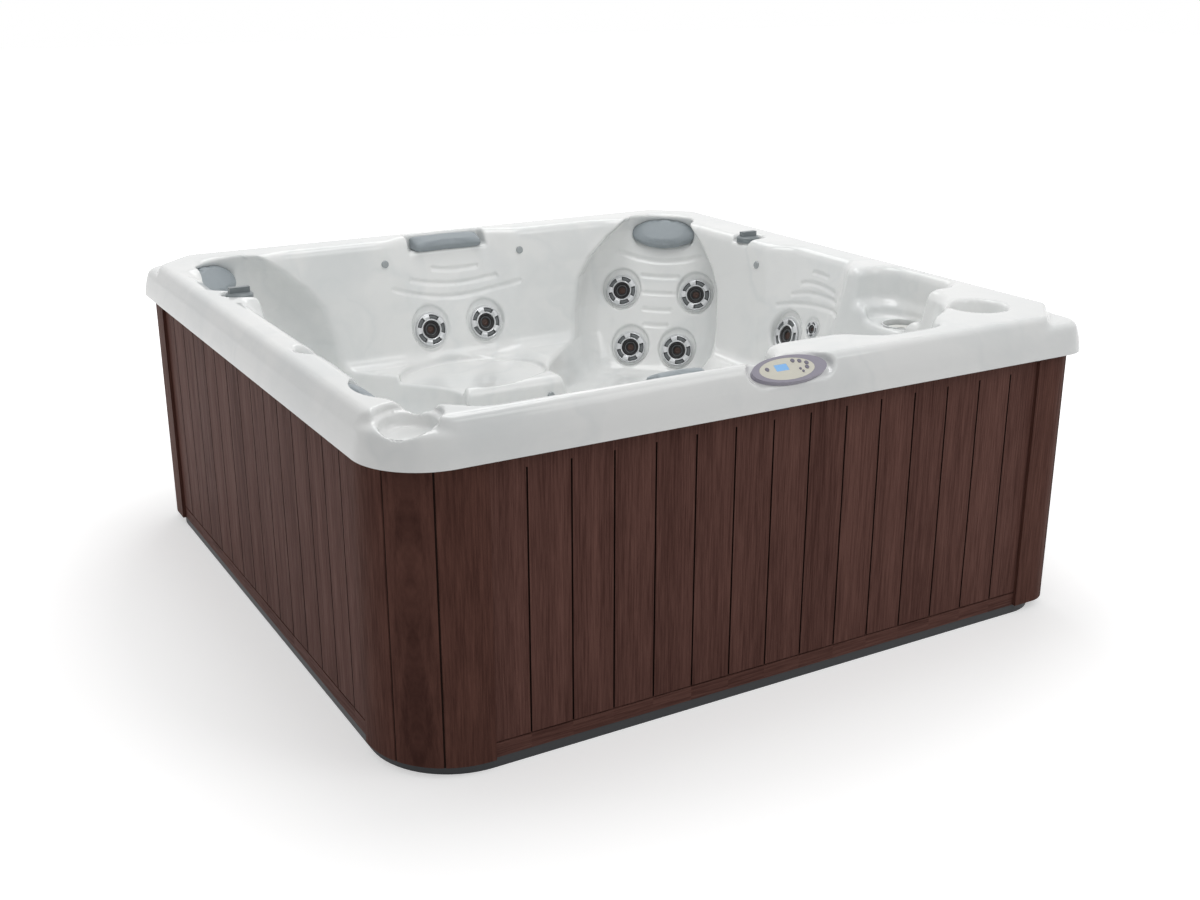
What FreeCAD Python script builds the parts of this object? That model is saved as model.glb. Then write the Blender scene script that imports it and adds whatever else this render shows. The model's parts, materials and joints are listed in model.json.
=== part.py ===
import FreeCAD, Part
import Sketcher
import math
import os

# Driving dimensions in millimetres, and angles in degrees.
SIZES = {
    # Rim of the shell, square in plan, with one larger corner at the front left.
    "rim_width": 2130,
    "rim_depth": 2130,
    "rim_top": 892,
    "lip_height": 110,
    "lip_band": 48,
    "slope_run": 30,
    "crown_drop": 7,
    "crown_run": 9,
    "rim_corner": 95,
    "near_corner": 175,
    "wall": 8,
    "step_reach": 1369,
    "step_depth": 27,
    "overrun": 40,
    "fit_gap": 0.3,
    "running_gap": 0.08,
    # Open basin above the seats.
    "seat_level": 470,
    "basin_left": 886,
    "basin_right": 863,
    "basin_back": 908,
    "basin_front": 870,
    "basin_draft": 70,
    "basin_corner": 120,
    "deck_corner": 330,
    "bucket_fill": 330,
    # Footwell.
    "well_left": 340,
    "well_right": 340,
    "well_back": 415,
    "well_front": 430,
    "well_floor": 95,
    "well_draft": 50,
    "well_corner": 110,
    # Deep bucket seats in the two back corners.
    "bucket_floor": 315,
    "bucket_mouth": 400,
    "bucket_mouth_corner": 200,
    "bucket_reach": 1044,
    "bucket_rake": 213,
    "bucket_half": 225,
    "bucket_waist": 560,
    "bucket_waist_half": 250,
    "bucket_top_half": 165,
    "bucket_foot_corner": 120,
    "bucket_waist_corner": 70,
    "bucket_top_corner": 150,
    # Straight seats along the four sides.
    "seat_mouth": 520,
    "seat_corner": 90,
    "seat_dip": 12,
    "seat_flare": 30,
    "back_reach": 838,
    "back_rake": 120,
    "back_half": 205,
    "right_reach": 806,
    "right_rake": 114,
    "right_half": 165,
    "right_centre": -30,
    "front_reach": 872,
    "front_rake": 113,
    "front_half": 415,
    "front_centre": -395,
    "entry_reach": 848,
    "entry_rake": 100,
    "entry_half": 120,
    "entry_centre": 480,
    "left_reach": 838,
    "left_rake": 97,
    "left_half": 145,
    "left_centre": -700,
    "left_floor": 400,
    # Filter bay, its round well, and the cup dishes.
    "bay_inner": 760,
    "bay_outer": 985,
    "bay_front": -600,
    "bay_back": -280,
    "bay_floor": 752,
    "bay_draft": 8,
    "bay_corner": 70,
    "filter_across": 913,
    "filter_along": -440,
    "filter_bore": 56,
    "filter_depth": 300,
    "can_wall": 5,
    "cartridge_radius": 46,
    "cup_depth": 54,
    "near_cup_place": 953,
    "near_cup_radius": 62,
    "deck_cup_across": 832,
    "deck_cup_along": -838,
    "deck_cup_radius": 74,
    "side_cup_across": -945,
    "side_cup_along": -335,
    "side_cup_radius": 45,
    # Pillows.
    "oval_half_width": 127,
    "oval_half_height": 66,
    "oval_thick": 34,
    "oval_tilt": 45,
    "oval_drop": 62,
    "corner_pillow_set": 30,
    "side_pillow_set": 39,
    "pillow_gap": 3,
    "back_roll_width": 258,
    "front_roll_width": 136,
    "roll_height": 46,
    "roll_depth": 78,
    "notch_floor": 838,
    "notch_side": 20,
    "notch_mouth": 800,
    "notch_back_reach": 1000,
    "notch_front_reach": 972,
    "front_pillow_centre": -250,
    "notch_corner": 14,
    # Large jets; the small ones are this share of them.
    "jet_ring": 58,
    "jet_ring_bore": 28,
    "jet_ring_thick": 12,
    "jet_window_in": 38,
    "jet_window_out": 53,
    "jet_window_half": 14,
    "jet_window_depth": 6,
    "jet_windows": 5,
    "jet_spout": 9,
    "jet_flange": 66,
    "jet_flange_thick": 4,
    "jet_barrel": 44,
    "jet_bore": 34,
    "jet_sleeve": 22,
    "jet_web": 4,
    "jet_body_depth": 62,
    "jet_body_back": 14,
    "jet_nut": 58,
    "jet_nut_thick": 14,
    "jet_dish": 72,
    "jet_dish_depth": 12,
    "small_jet_share": 0.46,
    "jet_pair_half": 108,
    "jet_pair_height": 569,
    "bucket_jets_high": 609,
    "bucket_jets_high_half": 145,
    "bucket_jets_low": 406,
    "bucket_jets_low_half": 92,
    "right_jet_place": 82,
    "right_jet_height": 606,
    "right_small_jet_place": -39,
    "right_small_jet_height": 652,
    "left_small_jet_place": 372,
    "left_small_jet_height": 807,
    # Small round lights.
    "light_radius": 13,
    "light_thick": 5,
    "light_height": 815,
    "back_light_place": 262,
    "right_light_place": 240,
    "well_light_height": 408,
    "well_light_left": -185,
    "well_light_right": 125,
    # Control panel on the front rim.
    "panel_tilt": 36,
    "panel_centre": 21,
    "panel_climb": 51,
    "bezel_half_width": 112,
    "bezel_half_height": 41,
    "bezel_thick": 12,
    "face_shift": -8,
    "face_half_width": 82,
    "face_half_height": 33,
    "face_thick": 5,
    "tray_half_width": 124,
    "tray_half_height": 49,
    "display_width": 38,
    "display_height": 20,
    "display_depth": 2,
    "display_across": -14,
    "display_up": 6,
    "key_radius": 5.5,
    "key_travel": 0.8,
    "key_proud": 1.4,
    # Knobs on the rim.
    "knob_radius": 40,
    "knob_height": 20,
    "knob_grip_width": 18,
    "knob_grip_height": 16,
    "knob_seat": 50,
    "knob_sink": 22,
    "knob_stem": 12,
    "knob_stem_depth": 30,
    "valve_radius": 24,
    "valve_depth": 44,
    "valve_collar": 34,
    "valve_collar_thick": 3,
    "right_knob_across": 897,
    "right_knob_along": 360,
    "left_knob_across": -925,
    "left_knob_along": 375,
    # Cabinet.
    "cabinet_half": 1028,
    "panel_thick": 12,
    "panel_bottom": 28,
    "panel_top": 800,
    "panel_tongue": 12,
    "skirting_top": 68,
    "seam_top": 743,
    "seam_width": 4,
    "seam_depth": 4,
    "board_pitch": 114.5,
    "board_seams": 14,
    "corner_thick": 10,
    "near_panel_reach": 236,
    "near_panel_radius": 222,
    "corner_panel_reach": 156,
    "corner_panel_radius": 87,
    "corner_seam_radius": 2.5,
    "base_inset": 4,
    "base_floor": 8,
    "base_near_corner": 220,
    "base_corner": 130,
    # Timber frame inside the cabinet.
    "rail_thick": 40,
    "rail_height": 40,
    "rail_half_length": 740,
    "top_rail_top": 820,
    "post_width": 44,
    "post_place": 632,
    "foam_inset": 60,
    # Equipment under the front seat.
    "pump_across": 120,
    "pump_height": 158,
    "motor_radius": 80,
    "motor_front": -850,
    "motor_length": 200,
    "wet_end_radius": 95,
    "wet_end_length": 90,
    "foot_width": 150,
    "pipe_radius": 30,
    "pipe_wall": 4,
    "riser_length": 85,
    "manifold_radius": 42,
    "manifold_length": 380,
    "barb_radius": 10,
    "barb_length": 40,
    "barbs": 6,
    "box_width": 360,
    "box_depth": 110,
    "box_height": 220,
    "box_bottom": 215,
    "box_left": -15,
    "heater_radius": 50,
    "heater_length": 320,
    "heater_height": 330,
    "suction_radius": 50,
    "suction_thick": 14,
    "suction_slots": 8,
}

# Keys of the control panel as shares of the face's half width and half height.
KEY_SHARES = {
    "key_light": (-0.70, 0.20),
    "key_jets_one": (0.34, 0.64),
    "key_jets_two": (0.57, 0.52),
    "key_blower": (0.78, 0.26),
    "key_menu": (0.71, -0.12),
    "key_up": (0.45, -0.17),
    "key_down": (0.50, -0.44),
}
SMALL_KEYS = ("key_up", "key_down")
SMALL_KEY_SHARE = 0.62
HALF_SHARE = 0.5

# Oval pillow from back to front: height and width as shares of its thickness and outline.
PILLOW_LAYER_SHARES = ((0.0, 0.93), (0.3, 1.0), (0.68, 0.99), (0.88, 0.9), (1.0, 0.66))
# Straight pillow: corners of its profile from the notch's back, and its sections along the rim.
ROLL_PROFILE_SHARES = ((0.0, 0.0), (0.86, 0.0), (1.0, 0.34), (0.9, 0.62), (0.3, 1.0), (0.0, 0.97))
ROLL_SECTION_SHARES = ((-0.5, 0.86), (-0.46, 0.98), (0.0, 1.0), (0.46, 0.98), (0.5, 0.86))
# Upright seams of a corner panel as shares of its quarter turn.
CORNER_SEAM_SHARES = (0.32, 0.68)

# Quarter turns of the four sides about the upright axis; 0 faces the front.
SIDES = {"front": 0, "right": 90, "back": 180, "left": 270}
FULL_TURN = 360
UP = FreeCAD.Vector(0, 0, 1)
AIM_BACK = FreeCAD.Rotation(FreeCAD.Vector(1, 0, 0), -90)
AIM_RIGHT = FreeCAD.Rotation(FreeCAD.Vector(0, 1, 0), 90)

doc = FreeCAD.newDocument("hot_tub")
sheet = doc.addObject("Spreadsheet::Sheet", "sizes")
for row, (alias, number) in enumerate(SIZES.items(), start=1):
    sheet.set(f"A{row}", alias)
    sheet.set(f"B{row}", str(number))
    sheet.setAlias(f"B{row}", alias)
doc.recompute()


class Size:
    """A length that carries its number and the sheet formula it comes from."""

    def __init__(self, value, text):
        self.value = value
        self.text = text

    @staticmethod
    def of(other):
        return other if isinstance(other, Size) else Size(other, repr(other))

    def __add__(self, other):
        other = Size.of(other)
        return Size(self.value + other.value, f"({self.text} + {other.text})")

    def __sub__(self, other):
        other = Size.of(other)
        return Size(self.value - other.value, f"({self.text} - {other.text})")

    def __mul__(self, other):
        other = Size.of(other)
        return Size(self.value * other.value, f"({self.text} * {other.text})")

    def __truediv__(self, other):
        other = Size.of(other)
        return Size(self.value / other.value, f"({self.text} / {other.text})")

    def __neg__(self):
        return Size(-self.value, f"(-{self.text})")

    def __radd__(self, other):
        return Size.of(other) + self

    def __rmul__(self, other):
        return Size.of(other) * self


class Sizes:
    """Every named cell of the sheet as a Size."""

    def __init__(self):
        for alias in SIZES:
            setattr(self, alias, Size(float(sheet.get(alias)), f"sizes.{alias}"))


S = Sizes()
ZERO = Size(0.0, "0")
rim_half_x = S.rim_width / 2
rim_half_y = S.rim_depth / 2
lip_bottom = S.rim_top - S.lip_height
band_top = lip_bottom + S.lip_band
frame_face = S.cabinet_half - S.panel_thick
corner_face = S.cabinet_half + S.fit_gap + S.corner_thick


def bind(thing, prop, size):
    """Tie one property of a document object to the sheet."""
    thing.setExpression(prop, size.text)


def place(thing, x=ZERO, y=ZERO, z=ZERO, rotation=None):
    """Put a document object at sizes from the sheet."""
    base = FreeCAD.Vector(x.value, y.value, z.value)
    thing.Placement = FreeCAD.Placement(base, rotation or FreeCAD.Rotation())
    for axis, size in zip("xyz", (x, y, z)):
        bind(thing, f"Placement.Base.{axis}", size)
    return thing


def plane(body, role):
    """One of a body's own origin planes or axes."""
    return next(f for f in body.Origin.OriginFeatures if f.Role == role)


def new_sketch(owner, name, role="XY_Plane", lift=None):
    """A sketch in the document, or on an origin plane of a body."""
    if owner is doc:
        return doc.addObject("Sketcher::SketchObject", name)
    sketch = owner.newObject("Sketcher::SketchObject", name)
    sketch.AttachmentSupport = (plane(owner, role), [""])
    sketch.MapMode = "FlatFace"
    if lift is not None:
        bind(sketch, "AttachmentOffset.Base.z", lift)
    return sketch


def hold(sketch, constraints):
    """Add constraints, and tie those that come with a size to the sheet."""
    first = sketch.ConstraintCount
    sketch.addConstraint([c for c, _ in constraints])
    for index, (_, size) in enumerate(constraints, start=first):
        if size is not None:
            bind(sketch, f"Constraints[{index}]", size)


def outline(owner, name, left, right, front, back, corners, lift=None):
    """A rectangle with four round corners: front left, front right, back right, back left."""
    sketch = new_sketch(owner, name, lift=lift)
    x0, x1, y0, y1 = (size.value for size in (left, right, front, back))
    fl, fr, br, bl = (size.value for size in corners)
    vec = FreeCAD.Vector
    quarter = math.pi / 2

    def line(ax, ay, bx, by):
        return Part.LineSegment(vec(ax, ay, 0), vec(bx, by, 0))

    def arc(cx, cy, radius, turn):
        circle = Part.Circle(vec(cx, cy, 0), UP, radius)
        return Part.ArcOfCircle(circle, turn * quarter, (turn + 1) * quarter)

    sketch.addGeometry([
        line(x0 + fl, y0, x1 - fr, y0), arc(x1 - fr, y0 + fr, fr, 3),
        line(x1, y0 + fr, x1, y1 - br), arc(x1 - br, y1 - br, br, 0),
        line(x1 - br, y1, x0 + bl, y1), arc(x0 + bl, y1 - bl, bl, 1),
        line(x0, y1 - bl, x0, y0 + fl), arc(x0 + fl, y0 + fl, fl, 2),
    ], False)
    rule = Sketcher.Constraint
    joined = [(rule("Tangent", i, 2, (i + 1) % 8, 1), None) for i in range(8)]
    square = [(rule("Horizontal", i), None) for i in (0, 4)]
    square += [(rule("Vertical", i), None) for i in (2, 6)]
    sides = [(rule("DistanceX", -1, 1, 6, 1, x0), left), (rule("DistanceX", -1, 1, 2, 1, x1), right),
             (rule("DistanceY", -1, 1, 0, 1, y0), front), (rule("DistanceY", -1, 1, 4, 1, y1), back)]
    radii = [(rule("Radius", arc_index, size.value), size)
             for arc_index, size in zip((7, 1, 3, 5), corners)]
    hold(sketch, joined + square + sides + radii)
    return sketch


def profile(owner, name, points, role="XY_Plane", lift=None):
    """A closed polygon whose corners are all sizes from the sheet."""
    sketch = new_sketch(owner, name, role, lift)
    spots = [FreeCAD.Vector(x.value, y.value, 0) for x, y in points]
    count = len(spots)
    sketch.addGeometry([Part.LineSegment(spots[i], spots[(i + 1) % count]) for i in range(count)], False)
    rule = Sketcher.Constraint
    rules = [(rule("Coincident", i, 2, (i + 1) % count, 1), None) for i in range(count)]
    for i, (x, y) in enumerate(points):
        rules.append((rule("DistanceX", -1, 1, i, 1, x.value), x))
        rules.append((rule("DistanceY", -1, 1, i, 1, y.value), y))
    hold(sketch, rules)
    return sketch


def circles(owner, name, spots, radius, lift=None):
    """A sketch of equal circles."""
    sketch = new_sketch(owner, name, lift=lift)
    rule = Sketcher.Constraint
    rules = []
    for index, (x, y) in enumerate(spots):
        centre = FreeCAD.Vector(x.value, y.value, 0)
        sketch.addGeometry(Part.Circle(centre, UP, radius.value), False)
        rules.append((rule("DistanceX", -1, 1, index, 3, x.value), x))
        rules.append((rule("DistanceY", -1, 1, index, 3, y.value), y))
        rules.append((rule("Radius", index, radius.value), radius))
    hold(sketch, rules)
    return sketch


def oval(owner, name, half_width, half_height, lift=None, shift=None):
    """An ellipse about the sketch origin, which may be shifted sideways."""
    sketch = new_sketch(owner, name, lift=lift)
    if shift is not None:
        bind(sketch, "AttachmentOffset.Base.x", shift)
    vec = FreeCAD.Vector
    wide, tall = half_width.value, half_height.value
    sketch.addGeometry(Part.Ellipse(vec(wide, 0, 0), vec(0, tall, 0), vec(0, 0, 0)), False)
    sketch.exposeInternalGeometry(0)
    rule = Sketcher.Constraint
    hold(sketch, [
        (rule("Coincident", 0, 3, -1, 1), None),
        (rule("Horizontal", 1), None),
        (rule("DistanceX", 1, 2, 1, 1, wide + wide), half_width * 2),
        (rule("DistanceY", 2, 2, 2, 1, tall + tall), half_height * 2),
    ])
    return sketch


def new_body(name):
    return doc.addObject("PartDesign::Body", name)


def pad(body, sketch, length):
    feature = body.newObject("PartDesign::Pad", f"{sketch.Name}_pad")
    feature.Profile = sketch
    bind(feature, "Length", length)
    return feature


def pocket(body, sketch, depth=None):
    """Cut downwards from the sketch, right through when no depth is given."""
    feature = body.newObject("PartDesign::Pocket", f"{sketch.Name}_cut")
    feature.Profile = sketch
    if depth is None:
        feature.Type = "ThroughAll"
        feature.Midplane = True
    else:
        bind(feature, "Length", depth)
    return feature


def revolve(body, sketch):
    """Turn an upright profile once round the body's own vertical axis."""
    feature = body.newObject("PartDesign::Revolution", f"{sketch.Name}_turn")
    feature.Profile = sketch
    feature.ReferenceAxis = (sketch, ["V_Axis"])
    feature.Angle = FULL_TURN
    return feature


def turned(name, points):
    """A body turned from a half profile given as radius and height."""
    body = new_body(name)
    revolve(body, profile(body, f"{name}_profile", points, "XZ_Plane"))
    return body


def along_x(body, feature, sketch, spread, count):
    """Repeat a cut along the panel, spread from its first place to its last."""
    pattern = body.newObject("PartDesign::LinearPattern", f"{feature.Name}_row")
    pattern.Originals = [feature]
    pattern.Direction = (sketch, ["H_Axis"])
    bind(pattern, "Length", spread)
    bind(pattern, "Occurrences", count)
    body.Tip = pattern
    return pattern


def round_axis(body, feature, sketch, count):
    """Repeat a cut round the body's vertical axis."""
    pattern = body.newObject("PartDesign::PolarPattern", f"{feature.Name}_ring")
    pattern.Originals = [feature]
    pattern.Axis = (sketch, ["N_Axis"])
    pattern.Angle = FULL_TURN
    if isinstance(count, Size):
        bind(pattern, "Occurrences", count)
    else:
        pattern.Occurrences = count
    body.Tip = pattern
    return pattern


def loft(name, sections):
    """A ruled solid through closed sketches."""
    solid = doc.addObject("Part::Loft", name)
    solid.Sections = sections
    solid.Solid = True
    solid.Ruled = True
    return solid


def box(name, length, width, height):
    solid = doc.addObject("Part::Box", name)
    for prop, size in (("Length", length), ("Width", width), ("Height", height)):
        bind(solid, prop, size)
    return solid


def cylinder(name, radius, height):
    solid = doc.addObject("Part::Cylinder", name)
    bind(solid, "Radius", radius)
    bind(solid, "Height", height)
    return solid


def sunk(spot, depth):
    """A placement moved back along its own +Z."""
    return FreeCAD.Placement(spot.Base - spot.Rotation.multVec(UP) * depth.value, spot.Rotation)


def boolean(kind, name, base, tool):
    result = doc.addObject(f"Part::{kind}", name)
    result.Base = base
    result.Tool = tool
    return result


def fuse(name, shapes):
    result = doc.addObject("Part::MultiFuse", name)
    result.Shapes = shapes
    return result


def group(name, solids):
    """Separate solids that share one node."""
    result = doc.addObject("Part::Compound", name)
    result.Links = solids
    return result


def turn_about_z(degrees):
    return FreeCAD.Rotation(UP, degrees)


def upright(turn):
    """Stand a flat piece up, facing outwards on the side with this turn."""
    return turn_about_z(turn) * FreeCAD.Rotation(FreeCAD.Vector(1, 0, 0), 90)


def side_place(turn, reach):
    """The point at a given reach outwards on the side with this turn."""
    return turn_about_z(turn).multVec(FreeCAD.Vector(0, -reach, 0))


class Backrest:
    """A raked wall of the shell, seen along its own outward direction."""

    def __init__(self, turn, foot, head, low, high, centre=ZERO):
        self.turn = turn
        self.foot, self.head = foot, head
        self.low, self.high = low, high
        self.centre = centre
        self.rake = math.degrees(math.atan2((head - foot).value, (high - low).value))

    def reach(self, height):
        """How far out the wall stands at a height."""
        share = (height - self.low) / (self.high - self.low)
        return self.foot + (self.head - self.foot) * share

    def spot(self, along, height, sink=ZERO, tilt=None):
        """A placement on the wall whose own +Z points into the tub, sunk into the wall.

        A tilt in degrees from the upright replaces the wall's own rake.
        """
        rake = self.rake if tilt is None else tilt
        spin = turn_about_z(self.turn)
        face = spin * FreeCAD.Rotation(FreeCAD.Vector(0, 1, 0), -90 + rake)
        face = face * turn_about_z(-90)
        point = FreeCAD.Vector(self.reach(height).value, (self.centre + along).value, height.value)
        inward = face.multVec(UP)
        return FreeCAD.Placement(spin.multVec(point) - inward * sink.value, face)


# Backrests by the seat they belong to; the turn is the outward direction from +X.
bench_floor = S.seat_level - S.seat_dip
SEATS = {
    "right": Backrest(0, S.right_reach, S.right_reach + S.right_rake, bench_floor, S.rim_top, S.right_centre),
    "back": Backrest(90, S.back_reach, S.back_reach + S.back_rake, bench_floor, S.rim_top),
    "left": Backrest(180, S.left_reach, S.left_reach + S.left_rake, S.left_floor, S.rim_top, -S.left_centre),
    "front": Backrest(270, S.front_reach, S.front_reach + S.front_rake, bench_floor, S.rim_top,
                      S.front_centre),
    "entry": Backrest(270, S.entry_reach, S.entry_reach + S.entry_rake, bench_floor, S.rim_top,
                      S.entry_centre),
    "back_right": Backrest(45, S.bucket_reach, S.bucket_reach + S.bucket_rake, S.bucket_floor, S.rim_top),
    "back_left": Backrest(135, S.bucket_reach, S.bucket_reach + S.bucket_rake, S.bucket_floor, S.rim_top),
}
SEAT_HALVES = {"right": S.right_half, "back": S.back_half, "left": S.left_half, "front": S.front_half,
               "entry": S.entry_half}
BASIN_WALLS = {
    "right": Backrest(0, S.basin_right - S.basin_draft, S.basin_right, S.seat_level, S.rim_top),
    "back": Backrest(90, S.basin_back - S.basin_draft, S.basin_back, S.seat_level, S.rim_top),
    "left": Backrest(180, S.basin_left - S.basin_draft, S.basin_left, S.seat_level, S.rim_top),
}
WELL_WALLS = {
    "back": Backrest(90, S.well_back - S.well_draft, S.well_back, S.well_floor, S.seat_level),
    "front": Backrest(270, S.well_front - S.well_draft, S.well_front, S.well_floor, S.seat_level),
}

# Jets: wall, place along it from the seat's centre, height, and whether it is a small one.
front_pair = S.front_pillow_centre - S.front_centre
JETS = {
    "jet_back_left": (SEATS["back"], S.jet_pair_half, S.jet_pair_height, False),
    "jet_back_right": (SEATS["back"], -S.jet_pair_half, S.jet_pair_height, False),
    "jet_corner_upper_left": (SEATS["back_right"], S.bucket_jets_high_half, S.bucket_jets_high, False),
    "jet_corner_upper_right": (SEATS["back_right"], -S.bucket_jets_high_half, S.bucket_jets_high, False),
    "jet_corner_lower_left": (SEATS["back_right"], S.bucket_jets_low_half, S.bucket_jets_low, False),
    "jet_corner_lower_right": (SEATS["back_right"], -S.bucket_jets_low_half, S.bucket_jets_low, False),
    "jet_right": (SEATS["right"], S.right_jet_place, S.right_jet_height, False),
    "jet_right_small": (SEATS["right"], S.right_small_jet_place, S.right_small_jet_height, True),
    "jet_left_small": (BASIN_WALLS["left"], -S.left_small_jet_place, S.left_small_jet_height, True),
    "jet_front_left": (SEATS["front"], front_pair - S.jet_pair_half, S.jet_pair_height, False),
    "jet_front_right": (SEATS["front"], front_pair + S.jet_pair_half, S.jet_pair_height, False),
    "jet_left_front": (SEATS["left"], S.jet_pair_half, S.jet_pair_height, False),
    "jet_left_back": (SEATS["left"], -S.jet_pair_half, S.jet_pair_height, False),
}
nodes = {}


def keep(name, thing):
    """Name a finished sub-part."""
    thing.Label = name
    nodes[name] = thing
    return thing


def raised(sketch, height, turn=0):
    return place(sketch, z=height, rotation=turn_about_z(turn))


def rim_block(name, inset, sink, foot):
    """The rim's outer form: upright band, slope, crown; inset and sunk for its underside."""
    courses = [(foot, ZERO), (band_top - sink, ZERO),
               (S.rim_top - S.crown_drop - sink, S.slope_run),
               (S.rim_top - sink, S.slope_run + S.crown_run)]
    rings = []
    for number, (height, step) in enumerate(courses):
        x = rim_half_x - inset - step
        y = rim_half_y - inset - step
        near = S.near_corner - inset - step
        far = S.rim_corner - inset - step
        ring = outline(doc, f"{name}_ring_{number}", -x, x, -y, y, (near, far, far, far))
        rings.append(raised(ring, height))
    return loft(name, rings)


def rim_steps(name, grow):
    """The low steps across the rim's four corners."""
    steps = []
    for number in range(4):
        turn = turn_about_z(45 + 90 * number)
        step = box(f"{name}_{number}", rim_half_x, rim_half_y, S.step_depth + grow + S.overrun)
        corner = turn.multVec(FreeCAD.Vector((S.step_reach - grow).value, -rim_half_y.value / 2, 0))
        foot = (S.rim_top - S.step_depth - grow).value
        step.Placement = FreeCAD.Placement(corner + FreeCAD.Vector(0, 0, foot), turn)
        steps.append(step)
    return fuse(name, steps)


def tapered(name, low, high, foot, head, turn=0):
    """A ruled hollow between a lower and an upper outline, each as outline() takes them."""
    rings = [raised(outline(doc, f"{name}_foot", *foot), low, turn),
             raised(outline(doc, f"{name}_head", *head), high, turn)]
    return loft(name, rings)


def basin(name, grow, top):
    """The open basin above the seats."""
    corners = (S.basin_corner + grow, S.deck_corner + grow, S.bucket_fill + grow, S.bucket_fill + grow)
    share = (top - S.rim_top) / (S.rim_top - S.seat_level)
    foot, head = [], []
    for sign, size in ((-1, S.basin_left), (1, S.basin_right), (-1, S.basin_front), (1, S.basin_back)):
        foot.append((size - S.basin_draft + grow) * sign)
        head.append((size + S.basin_draft * share + grow) * sign)
    return tapered(name, S.seat_level - grow, top, (*foot, corners), (*head, corners))


def footwell(name, grow, top):
    """The footwell in the middle of the floor."""
    corners = (S.well_corner + grow,) * 4
    share = (top - S.seat_level) / (S.seat_level - S.well_floor)
    foot, head = [], []
    for sign, size in ((-1, S.well_left), (1, S.well_right), (-1, S.well_front), (1, S.well_back)):
        foot.append((size - S.well_draft + grow) * sign)
        head.append((size + S.well_draft * share + grow) * sign)
    return tapered(name, S.well_floor - grow, top, (*foot, corners), (*head, corners))


def seat_hollow(name, rest, mouth, half, flare, corner, grow, top):
    """One seat scooped out of the bench, with its raked and flared backrest."""
    share = (top - rest.low) / (rest.high - rest.low)
    inner = corner + grow
    corners = (inner, inner, inner, inner)
    low_half = half + grow
    high_half = half + flare * share + grow
    foot = (mouth - grow, rest.foot + grow, rest.centre - low_half, rest.centre + low_half, corners)
    head = (mouth - grow, rest.foot + (rest.head - rest.foot) * share + grow,
            rest.centre - high_half, rest.centre + high_half, corners)
    return tapered(name, rest.low - grow, top, foot, head, rest.turn)


def bucket_hollow(name, rest, grow, top):
    """A deep corner seat whose sides draw together towards the pillow."""
    share = (top - S.bucket_waist) / (S.rim_top - S.bucket_waist)
    top_half = S.bucket_waist_half + (S.bucket_top_half - S.bucket_waist_half) * share
    courses = ((rest.low, grow, S.bucket_half, S.bucket_mouth_corner, S.bucket_foot_corner),
               (S.bucket_waist, ZERO, S.bucket_waist_half, S.bucket_mouth_corner, S.bucket_waist_corner),
               (top, ZERO, top_half, S.bucket_top_corner, S.bucket_top_corner))
    rings = []
    for number, (height, sink, half, mouth, corner) in enumerate(courses):
        inner, outer = mouth + grow, corner + grow
        ring = outline(doc, f"{name}_ring_{number}", S.bucket_mouth - grow, rest.reach(height) + grow,
                       -half - grow, half + grow, (inner, outer, outer, inner))
        rings.append(raised(ring, height - sink, rest.turn))
    return loft(name, rings)


def filter_bay(name, grow, top):
    """The shelf that holds the filter well, open to the basin."""
    corners = (S.bay_corner + grow,) * 4
    foot = (S.bay_inner - grow, S.bay_outer - S.bay_draft + grow,
            S.bay_front + S.bay_draft - grow, S.bay_back - S.bay_draft + grow, corners)
    head = (S.bay_inner - grow, S.bay_outer + grow, S.bay_front - grow, S.bay_back + grow, corners)
    return tapered(name, S.bay_floor - grow, top, foot, head)


def cup_dishes(name, grow, top):
    """Round cup dishes: near corner, front-right deck and left side."""
    floor = S.rim_top - S.cup_depth - grow
    dishes = []
    for number, (radius, x, y) in enumerate((
            (S.near_cup_radius, -S.near_cup_place, -S.near_cup_place),
            (S.deck_cup_radius, S.deck_cup_across, S.deck_cup_along),
            (S.side_cup_radius, S.side_cup_across, S.side_cup_along))):
        dish = cylinder(f"{name}_{number}", radius + grow, top - floor)
        dishes.append(place(dish, x, y, floor))
    return dishes


def pillow_notches(name, grow, top):
    """Notches in the back and front rim for the two straight pillows."""
    corner = S.notch_corner + grow
    notches = []
    for side, turn, reach, centre, width in (
            ("back", 90, S.notch_back_reach, ZERO, S.back_roll_width),
            ("front", 270, S.notch_front_reach, S.front_pillow_centre, S.front_roll_width)):
        half = width / 2 + S.notch_side + grow
        ring = (S.notch_mouth - grow, reach + grow, centre - half, centre + half, (corner,) * 4)
        notches.append(tapered(f"{name}_{side}", S.notch_floor - grow, top, ring, ring, turn))
    return notches


def oval_column(name, half_width, half_height, length, spot):
    """An elliptic column standing on a placement."""
    ring = doc.addObject("Part::Ellipse", f"{name}_ring")
    bind(ring, "MajorRadius", half_width)
    bind(ring, "MinorRadius", half_height)
    ring.Placement = spot
    column = doc.addObject("Part::Extrusion", name)
    column.Base = ring
    column.DirMode = "Custom"
    column.Dir = spot.Rotation.multVec(UP)
    column.Solid = True
    bind(column, "LengthFwd", length)
    return column


def oval_spots():
    """Where the backs of the three oval pillows lie."""
    height = S.rim_top - S.oval_drop
    spots = {}
    for name, setback in (("back_right", S.corner_pillow_set), ("back_left", S.corner_pillow_set),
                          ("left", S.side_pillow_set)):
        seat = SEATS[name]
        point = FreeCAD.Vector((seat.reach(height) + setback).value, seat.centre.value, height.value)
        facing = seat.spot(ZERO, height, tilt=S.oval_tilt.value).Rotation
        spots[name] = FreeCAD.Placement(turn_about_z(seat.turn).multVec(point), facing)
    return spots


def pillow_pockets(name, grow):
    """Oval pockets that the three oval pillows lie in."""
    columns = []
    for place_name, spot in oval_spots().items():
        columns.append(oval_column(
            f"{name}_{place_name}", S.oval_half_width + S.pillow_gap + grow,
            S.oval_half_height + S.pillow_gap + grow, S.oval_half_height + grow, sunk(spot, grow)))
    return columns


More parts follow.
